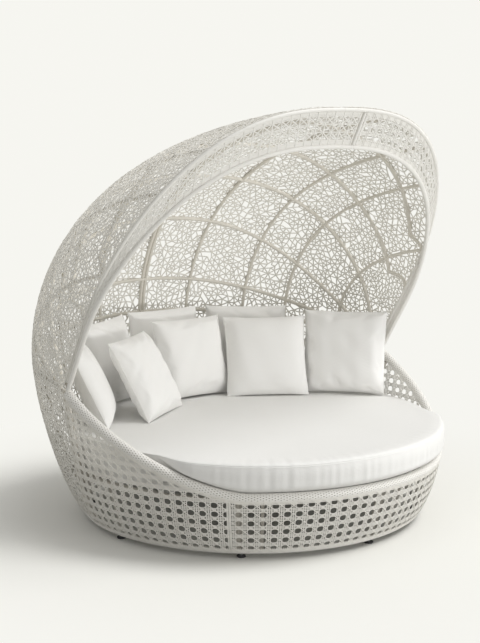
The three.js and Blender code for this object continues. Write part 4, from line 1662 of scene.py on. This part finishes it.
@dataclass
class Mattress:
    """The round mattress, which swells over the front rim, with gathers down its side."""

    bowl: Bowl = field(default_factory=Bowl)
    low: float = 0.3003
    thickness: float = 0.158
    crown: float = 0.009
    swell: float = 0.0591
    foot_inset: float = 0.0164
    gap: float = 0.003
    folds: tuple[int, int] = (60, 190)
    waves: int = 14
    gather: float = 0.006
    top_gather: float = 0.0030
    unevenness: float = 0.002
    calm: float = 0.35
    patches: float = 3.0
    patch_start: float = 2.6
    fold_edge: float = 0.06
    fold_start: float = 0.04
    top_from: float = 0.1
    dips: Pair = (6.1, 5.3)
    steps: tuple[int, int, int] = (8, 84, 26)
    fold_low: float = 0.03
    brow: float = 0.004
    bend: float = 0.55
    swell_from: float = 0.05
    swell_ease: float = 0.6
    sides: int = 600
    seam_levels: tuple[float, ...] = (0.4385, 0.4465)
    cord: Winding = Winding(0.0013, 0.009, 0.0, 0.0, 6, 1)
    seed: int = 3

    @property
    def inner(self) -> float:
        """Radius inside the rim."""
        rim = self.bowl
        return float(rim.radius(np.array(rim.rim_height))) - 2 * rim.rim_radius - self.gap

    def profile(self) -> Points:
        """The cover's cut from the middle of the underside to the middle of the top.

        Returns:
            Radius and height of its corners.
        """
        inner, swell = self.inner, self.swell
        over = self.bowl.rim_height + self.bowl.rim_radius + self.gap
        high, foot = self.low + self.thickness, inner - self.foot_inset
        lift = over - self.low
        side = [(0.50, 0.12), (0.93, 0.42), (1.0, 0.95)]
        brow = [(0.985, 0.52), (0.94, 0.30), (0.84, 0.12), (0.66, 0.03), (0.40, 0.0)]
        return np.array([
            [0, self.low], [foot * 0.6, self.low], [foot, self.low + 0.0005],
            [(foot + inner) / 2, self.low + lift * 0.25], [inner, self.low + lift * self.bend],
            *([inner + swell * out, over + swell * up] for out, up in side),
            *([inner + swell * out, high - swell * down] for out, down in brow),
            [inner * 0.93, high + self.crown * 0.12], [inner * 0.6, high + self.crown * 0.7],
            [inner * 0.3, high + self.crown * 0.95], [0, high + self.crown]])

    def outline(self) -> tuple[Points, Points]:
        """The profile in steps, closest together down the side.

        Returns:
            Radii and heights.
        """
        corners = self.profile()
        run = run_length(corners)
        stops = np.concatenate([
            np.linspace(0, run[2], self.steps[0])[:-1],
            np.linspace(run[2], run[13], self.steps[1])[:-1],
            np.linspace(run[13], run[-1], self.steps[2])])
        radius, height = (smooth_through(run, corners[:, k], stops) for k in (0, 1))
        return np.maximum(radius, 0), height

    def place(self, reach: Points, up: Points, turn: Points) -> Points:
        """A place on the cover, drawn in over the rising rim, with the gathers of its side.

        Args:
            reach: Radius on the profile.
            up: Height on the profile.
            turn: Angle round the axis.

        Returns:
            The place.
        """
        bowl, high = self.bowl, self.low + self.thickness
        over = bowl.rim_height + bowl.rim_radius + self.gap
        mid = self.low + (over - self.low) * self.bend
        lifted = np.clip(bowl.rim(turn) + bowl.rim_radius + self.gap, over, high - self.brow)
        room = np.clip(((high - lifted) / (high - over) - self.swell_from)
                       / self.swell_ease, 0, 1)
        kept = room * room * (3 - 2 * room)
        reach = np.where(reach > self.inner, self.inner + (reach - self.inner) * kept, reach)
        lower = mid + (up - mid) * (lifted - mid) / (over - mid)
        upper = lifted + (up - over) * (high - lifted) / (high - over)
        up = np.where((up > mid) & (up < over), lower, np.where((up >= over) & (up < high),
                                                                upper, up))
        rng = np.random.default_rng(self.seed)
        gather = sum(rng.uniform(0.5, 1) * np.sin(int(n) * turn + rng.random() * 2 * pi)
                     for n in rng.integers(*self.folds, self.waves)) / self.waves
        strong = 0.5 + 0.5 * np.sin(turn * self.patches + self.patch_start)
        gather = gather * (self.calm + (1 - self.calm) * strong)
        side = np.clip((up - over) / self.fold_low, 0, 1) \
            * np.clip((high + self.brow - up) / self.fold_edge, 0, 1)
        outer = np.clip((reach - self.inner + self.fold_start) / self.fold_edge, 0, 1)
        reach = reach + gather * self.gather * side * outer
        top = up > self.low + self.top_from
        up = up + gather * self.top_gather * np.clip(
            (reach - self.inner + self.fold_edge) / self.fold_edge, 0, 1) * top
        wide = bowl.spot(reach, turn, up)
        wide[..., 2] += top * self.unevenness * (
            np.sin(wide[..., 0] * self.dips[0] + 1.0) * np.sin(wide[..., 1] * self.dips[1]))
        return wide

    def mesh(self) -> bpy.types.Mesh:
        """Turns the profile round the axis.

        Returns:
            The closed cover.
        """
        radius, height = self.outline()
        rows = len(radius) - 1

        def form(u: Points, v: Points) -> Points:
            """A place on the mattress, by its shares of the turn and of the profile."""
            at = np.rint(v * rows).astype(int)
            return self.place(radius[at], height[at], (u * 2 - 1) * pi)

        return formed_grid("mattress_cover", self.sides, rows, form, closed=True)

    def seams(self) -> list[bpy.types.Mesh]:
        """The two fine cords of the seam round the top edge.

        Returns:
            The cords.
        """
        radius, height = self.outline()
        made = []
        for level in self.seam_levels:
            at = np.flatnonzero((height > level) & (radius > self.inner))[0]
            turn = np.linspace(-pi, pi, self.sides + 1)
            path = self.place(np.full_like(turn, radius[at]), np.full_like(turn, height[at]), turn)
            made.append(self.cord.mesh("seam", path, self.bowl.outward(turn)))
        return made

    def build(self) -> None:
        """Makes the mattress."""
        piece = added("mattress_cover", self.mesh(), Slot.MATTRESS, ["mattress"], "mattress")
        added("mattress_seam", joined("mattress_seam", self.seams()), Slot.MATTRESS,
              ["mattress"], "mattress")


def smooth_through(run: Points, values: Points, at: Points) -> Points:
    """Smooth values through given ones.

    Args:
        run: Distance of each given value along its path.
        values: The given values.
        at: Distances to take the values at.

    Returns:
        The values there.
    """
    slope = np.gradient(values, run)
    low = np.clip(np.searchsorted(run, at, side="right") - 1, 0, len(run) - 2)
    wide = run[low + 1] - run[low]
    t = (at - run[low]) / wide
    a, b = values[low], values[low + 1]
    return ((2 * t ** 3 - 3 * t ** 2 + 1) * a + (t ** 3 - 2 * t ** 2 + t) * wide * slope[low]
            + (3 * t ** 2 - 2 * t ** 3) * b + (t ** 3 - t ** 2) * wide * slope[low + 1])


@dataclass(frozen=True)
class PillowSpot:
    """Where a pillow stands: the way it faces, how far it leans back and its size."""

    name: str
    x: float
    y: float
    face: float
    lean: float
    size: float
    seed: int


@dataclass
class Pillows:
    """Eight loose knife-edged pillows, each sewn of two panels and filled."""

    size: float = 0.45
    plump: float = 1 / 3
    reach: float = 0.951
    draw: float = 0.045
    cut: float = 0.02
    loft: float = 0.92
    most: float = 0.014
    mass: float = 0.25
    stretch: float = 18.0
    shear: float = 6.0
    bend: float = 0.25
    pressure: float = 3.5
    quality: int = 6
    frames: int = 24
    slack: float = 1.02
    ripple: float = 0.0012
    waves: int = 5
    wave_number: float = 30.0
    cord: Winding = Winding(0.0016, 0.007, 0.0, 0.0, 6, 1)
    edge_power: float = 4.0
    fullness: float = 0.62
    droop: float = 0.12
    cells: int = 44
    bowl: Bowl = field(default_factory=Bowl)
    spots: tuple[PillowSpot, ...] = (
        PillowSpot("pillow_left_wall", -0.679, 0.294, 56, 24, 0.95, 1),
        PillowSpot("pillow_left_back", -0.45, 0.641, 28, 8, 1.0, 2),
        PillowSpot("pillow_left_front", -0.352, 0.271, 33, 29, 0.96, 3),
        PillowSpot("pillow_middle_front", 0.042, 0.523, -1, 18, 0.96, 4),
        PillowSpot("pillow_middle_back", 0.0, 0.757, 0, 7, 1.0, 5),
        PillowSpot("pillow_right_back", 0.452, 0.63, -38, 10, 1.0, 6),
        PillowSpot("pillow_right_front", 0.371, 0.32, -30, 24, 0.98, 7),
        PillowSpot("pillow_right_wall", 0.752, 0.127, -49, 15, 1.0, 8),
    )

    def crown(self, x: Points, y: Points) -> Points:
        """Share of half the thickness at a place of a face, from -1 to 1 each way."""
        return (np.maximum(0, (1 - x ** self.edge_power) * (1 - y ** self.edge_power))
                ** self.fullness * (1 - self.droop * (x * x + y * y) / 2))

    def panel(self, size: float, share: float, cells: int, hand: int,
              draw: float) -> bpy.types.Mesh:
        """One crowned panel.

        Args:
            size: Side of the pillow.
            share: Share of the full thickness.
            cells: Cells each way.
            hand: 1 for the front, -1 for the back.
            draw: How far the sides pull in between the corners, as a share of half the size.

        Returns:
            The open panel.
        """
        thick = size * self.plump * share

        def form(u: Points, v: Points) -> Points:
            """Place on the panel.

            Args:
                u: Share of the way across.
                v: Share of the way up.

            Returns:
                The place.
            """
            x, y = np.sin((2 * u - 1) * pi / 2), np.sin((2 * v - 1) * pi / 2)
            return np.stack([x * (1 - draw * (1 - y * y)) * size / 2,
                             y * (1 - draw * (1 - x * x)) * size / 2,
                             hand * self.crown(x, y) * thick / 2], -1)

        return formed_grid("panel", cells, cells, form)

    def sewn(self, name: str, size: float, share: float) -> bpy.types.Mesh:
        """Two panels sewn together along their edges.

        Args:
            name: Name of the mesh.
            size: Side of the pillow.
            share: Share of the full thickness.

        Returns:
            The closed cover.
        """
        draw = self.cut
        mesh = joined(name, [self.panel(size, share, self.cells, hand, draw)
                             for hand in (1, -1)])
        bm = bmesh.new()
        bm.from_mesh(mesh)
        bmesh.ops.remove_doubles(bm, verts=[v for v in bm.verts if v.is_boundary], dist=1e-5)
        bmesh.ops.recalc_face_normals(bm, faces=bm.faces)
        bm.to_mesh(mesh)
        bm.free()
        return mesh

    def filled(self, pieces: Sequence[bpy.types.Object]) -> None:
        """Blows the covers up as cloth until they crease, all in one run.

        Args:
            pieces: The covers, flat on the ground.
        """
        for piece in pieces:
            cloth = piece.modifiers.new("filling", "CLOTH")
            work = cloth.settings
            work.quality, work.mass = self.quality, self.mass
            work.tension_stiffness = work.compression_stiffness = self.stretch
            work.shear_stiffness, work.bending_stiffness = self.shear, self.bend
            work.use_pressure, work.uniform_pressure_force = True, self.pressure
            work.effector_weights.gravity = 0
            cloth.collision_settings.use_collision = False
            cloth.point_cache.frame_start, cloth.point_cache.frame_end = 1, self.frames
        for moment in range(1, self.frames + 1):
            bpy.context.scene.frame_set(moment)
        graph = bpy.context.evaluated_depsgraph_get()
        for piece in pieces:
            full = bpy.data.meshes.new_from_object(piece.evaluated_get(graph))
            piece.modifiers.clear()
            start = coordinates(piece.data)
            moved = coordinates(full) - start
            far = np.linalg.norm(moved, axis=1, keepdims=True)
            moved *= self.most * np.tanh(far / self.most) / np.maximum(far, 1e-9)
            piece.data.vertices.foreach_set("co", (start + moved).ravel())
            bpy.data.meshes.remove(full)
        bpy.context.scene.frame_set(1)

    def fitted(self, piece: bpy.types.Object, size: float) -> None:
        """Brings a filled cover to the size and thickness of its place.

        Args:
            piece: The cover, flat on the ground.
            size: Side of the pillow.
        """
        at = coordinates(piece.data)
        at -= (at.max(0) + at.min(0)) / 2
        spread = at.max(0) - at.min(0)
        at *= np.array([size, size, size * self.plump]) / spread
        piece.data.vertices.foreach_set("co", at.ravel())

    def stood(self, piece: bpy.types.Object, spot: PillowSpot, size: float) -> None:
        """Turns a cover into its place on the mattress, where its node is.

        Args:
            piece: The cover, flat on the ground.
            spot: Its place.
            size: Side of the pillow.
        """
        turn = Matrix.Rotation(radians(spot.face), 4, "Z") \
            @ Matrix.Rotation(radians(90 - spot.lean), 4, "X") \
            @ Matrix.Translation((0, size / 2, 0))
        guide = np.concatenate([coordinates(self.panel(size, 1.0, 8, hand, self.draw))
                                for hand in (1, -1)])
        turned = guide @ np.array(turn.to_3x3()).T + np.array(turn.translation)
        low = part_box(spot.name)[0].z
        place = Matrix.Translation((spot.x * self.reach, spot.y * self.reach + self.bowl.back,
                                    low - turned[:, 2].min()))
        piece.data.transform(place @ turn)

    def build(self) -> None:
        """Makes, fills and places the pillows."""
        covers, seams = [], []
        share, slack = ((self.loft, self.slack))
        for spot in self.spots:
            mesh = self.sewn(f"{spot.name}_cover", self.size * spot.size * slack, share)
            covers.append(linked(f"{spot.name}_cover", mesh))
            rng = np.random.default_rng(spot.seed)
            at = coordinates(mesh)
            edge = np.flatnonzero(np.abs(at[:, 2]) < 1e-7)
            seams.append(edge[np.argsort(np.arctan2(at[edge, 1], at[edge, 0]))])
            wave = sum(np.sin(at @ rng.normal(size=3) * self.wave_number + rng.random() * 6)
                       for _ in range(self.waves))
            at[:, 2] += wave * self.ripple * (np.abs(at[:, 2]) > 1e-6)
            mesh.vertices.foreach_set("co", at.ravel())
        self.filled(covers)
        for spot, piece, seam in zip(self.spots, covers, seams):
            size = self.size * spot.size
            self.fitted(piece, size)
            self.stood(piece, spot, size)
            dressed(piece, Slot.PILLOW, spot.name, [spot.name])
            finer = piece.modifiers.new("finer", "SUBSURF")
            finer.levels = finer.render_levels = 1
            self.seam(spot, coordinates(piece.data), seam)

    def seam(self, spot: PillowSpot, at: Points, edge: Points) -> None:
        """Lays the fine cord of the knife edge.

        Args:
            spot: The pillow.
            at: The points of its cover.
            edge: Which of them lie on the edge, in order round it.
        """
        loop = at[np.append(edge, edge[0])]
        out = unit(loop - loop.mean(0))
        added(f"{spot.name}_seam", self.cord.mesh("seam", loop, out), Slot.PILLOW, [spot.name],
              spot.name)


@dataclass
class Studio:
    """Camera, lamps, floor and backdrop."""

    eye: Triple = (-3.9891, -5.1315, 1.90015)
    pitch: float = radians(90 - 8.497)
    azimuth: float = radians(-37.504)
    lens: float = 74.65
    sensor: float = 36.0
    view_end: float = 100.0
    backdrop: Colour = (0.925, 0.92, 0.875)
    key_from: Triple = (0.45, -0.30, 0.85)
    key_energy: float = 1.80
    key_softness: float = radians(30)
    low_at: Triple = (1.9, -5.4, 0.60)
    low_energy: float = 36.0
    low_spread: float = radians(100)
    low_aim: Triple = (0.2, -0.6, 1.75)
    low_size: Pair = (3.0, 0.8)
    sky: float = 0.49
    sky_colour: Colour = (1.0, 0.995, 0.98)
    floor_shade: float = 0.55
    floor_gain: float = 1.035
    fade: Pair = (1.0, 2.3)
    floor_width: float = 60.0

    def camera(self) -> None:
        """Sets the camera at the photograph's place."""
        lens = bpy.data.cameras.new("camera")
        lens.lens, lens.sensor_width, lens.clip_end = self.lens, self.sensor, self.view_end
        camera = linked("camera", lens)
        camera.location = self.eye
        camera.rotation_euler = (self.pitch, 0.0, self.azimuth)
        bpy.context.scene.camera = camera

    def lamps(self) -> None:
        """A soft key lamp from the upper right, and a weak low one from the front right."""
        key = bpy.data.lights.new("key", "SUN")
        key.energy, key.angle = self.key_energy, self.key_softness
        lamp = linked("key", key)
        lamp.rotation_euler = Vector(self.key_from).to_track_quat("Z", "Y").to_euler()
        low = bpy.data.lights.new("low", "AREA")
        low.shape, low.size, low.size_y = "RECTANGLE", *self.low_size
        low.energy, low.spread = self.low_energy, self.low_spread
        lamp = linked("low", low)
        lamp.location, lamp.visible_camera = self.low_at, False
        aim = Vector(self.low_at) - Vector(self.low_aim)
        lamp.rotation_euler = aim.to_track_quat("Z", "Y").to_euler()

    def world(self) -> None:
        """Even sky for the object, the pale backdrop for the camera."""
        world = bpy.data.worlds.new("studio")
        bpy.context.scene.world = world
        bench = Bench(world)
        path = bench.node("ShaderNodeLightPath")
        camera, glossy, through = (Signal(bench, path.outputs[f"Is {kind} Ray"])
                                   for kind in ("Camera", "Glossy", "Transmission"))
        sky = bench.node("ShaderNodeBackground", None,
                         {"Color": (*self.sky_colour, 1.0), "Strength": self.sky})
        show = bench.node("ShaderNodeBackground", None, {"Color": (*self.backdrop, 1.0)})
        both = bench.node("ShaderNodeMixShader", None, {
            0: camera.larger(glossy.larger(through)), 1: sky.outputs[0], 2: show.outputs[0]})
        bench.node("ShaderNodeOutputWorld", None, {"Surface": both.outputs[0]})

    def floor(self) -> None:
        """A wide pale floor, which gives back less light than it shows and fades far out."""
        bench = Bench(bpy.data.materials.new("floor"))
        path = bench.node("ShaderNodeLightPath")
        share = Signal(bench, path.outputs["Is Camera Ray"])
        pale = tuple(part / self.floor_gain for part in self.backdrop)
        dim = tuple(part * self.floor_shade for part in self.backdrop)
        matt = bench.node("ShaderNodeBsdfPrincipled", None, {
            "Base Color": bench.blend(share, dim, pale), "Roughness": 1.0,
            "Specular IOR Level": 0.0})
        glow = bench.node("ShaderNodeEmission", None, {"Color": (*self.backdrop, 1.0)})
        away = bench.node("ShaderNodeVectorMath", {"operation": "LENGTH"}, {0: bench.place()})
        far = bench.node("ShaderNodeMapRange", {"interpolation_type": "SMOOTHSTEP"}, {
            "Value": away.outputs["Value"], "From Min": self.fade[0], "From Max": self.fade[1]})
        both = bench.node("ShaderNodeMixShader", None, {
            0: Signal(bench, far.outputs["Result"]) * share, 1: matt.outputs[0],
            2: glow.outputs[0]})
        bench.node("ShaderNodeOutputMaterial", None, {"Surface": both.outputs[0]})
        mesh = formed_grid("floor", 4, 4, lambda u, v: np.stack(
            [(u - 0.5) * self.floor_width, (v - 0.5) * self.floor_width, u * 0], -1))
        mesh.materials.append(bench.owner)
        linked("floor", mesh)

    def build(self) -> None:
        """Makes the studio."""
        self.camera()
        self.lamps()
        self.world()
        self.floor()
        bpy.context.scene.view_settings.view_transform = "Standard"


def main() -> None:
    """Builds the daybed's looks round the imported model."""
    logging.basicConfig(level=logging.INFO, format="%(name)s %(message)s")
    for slot, finish in FINISHES.items():
        MATERIALS[slot] = finish.made()
    Studio().build()
    Base().build(frame["nodes"])
    Hood().build()
    Visor().build()
    Mattress().build()
    Pillows().build()


if __name__ == "__main__":
    main()
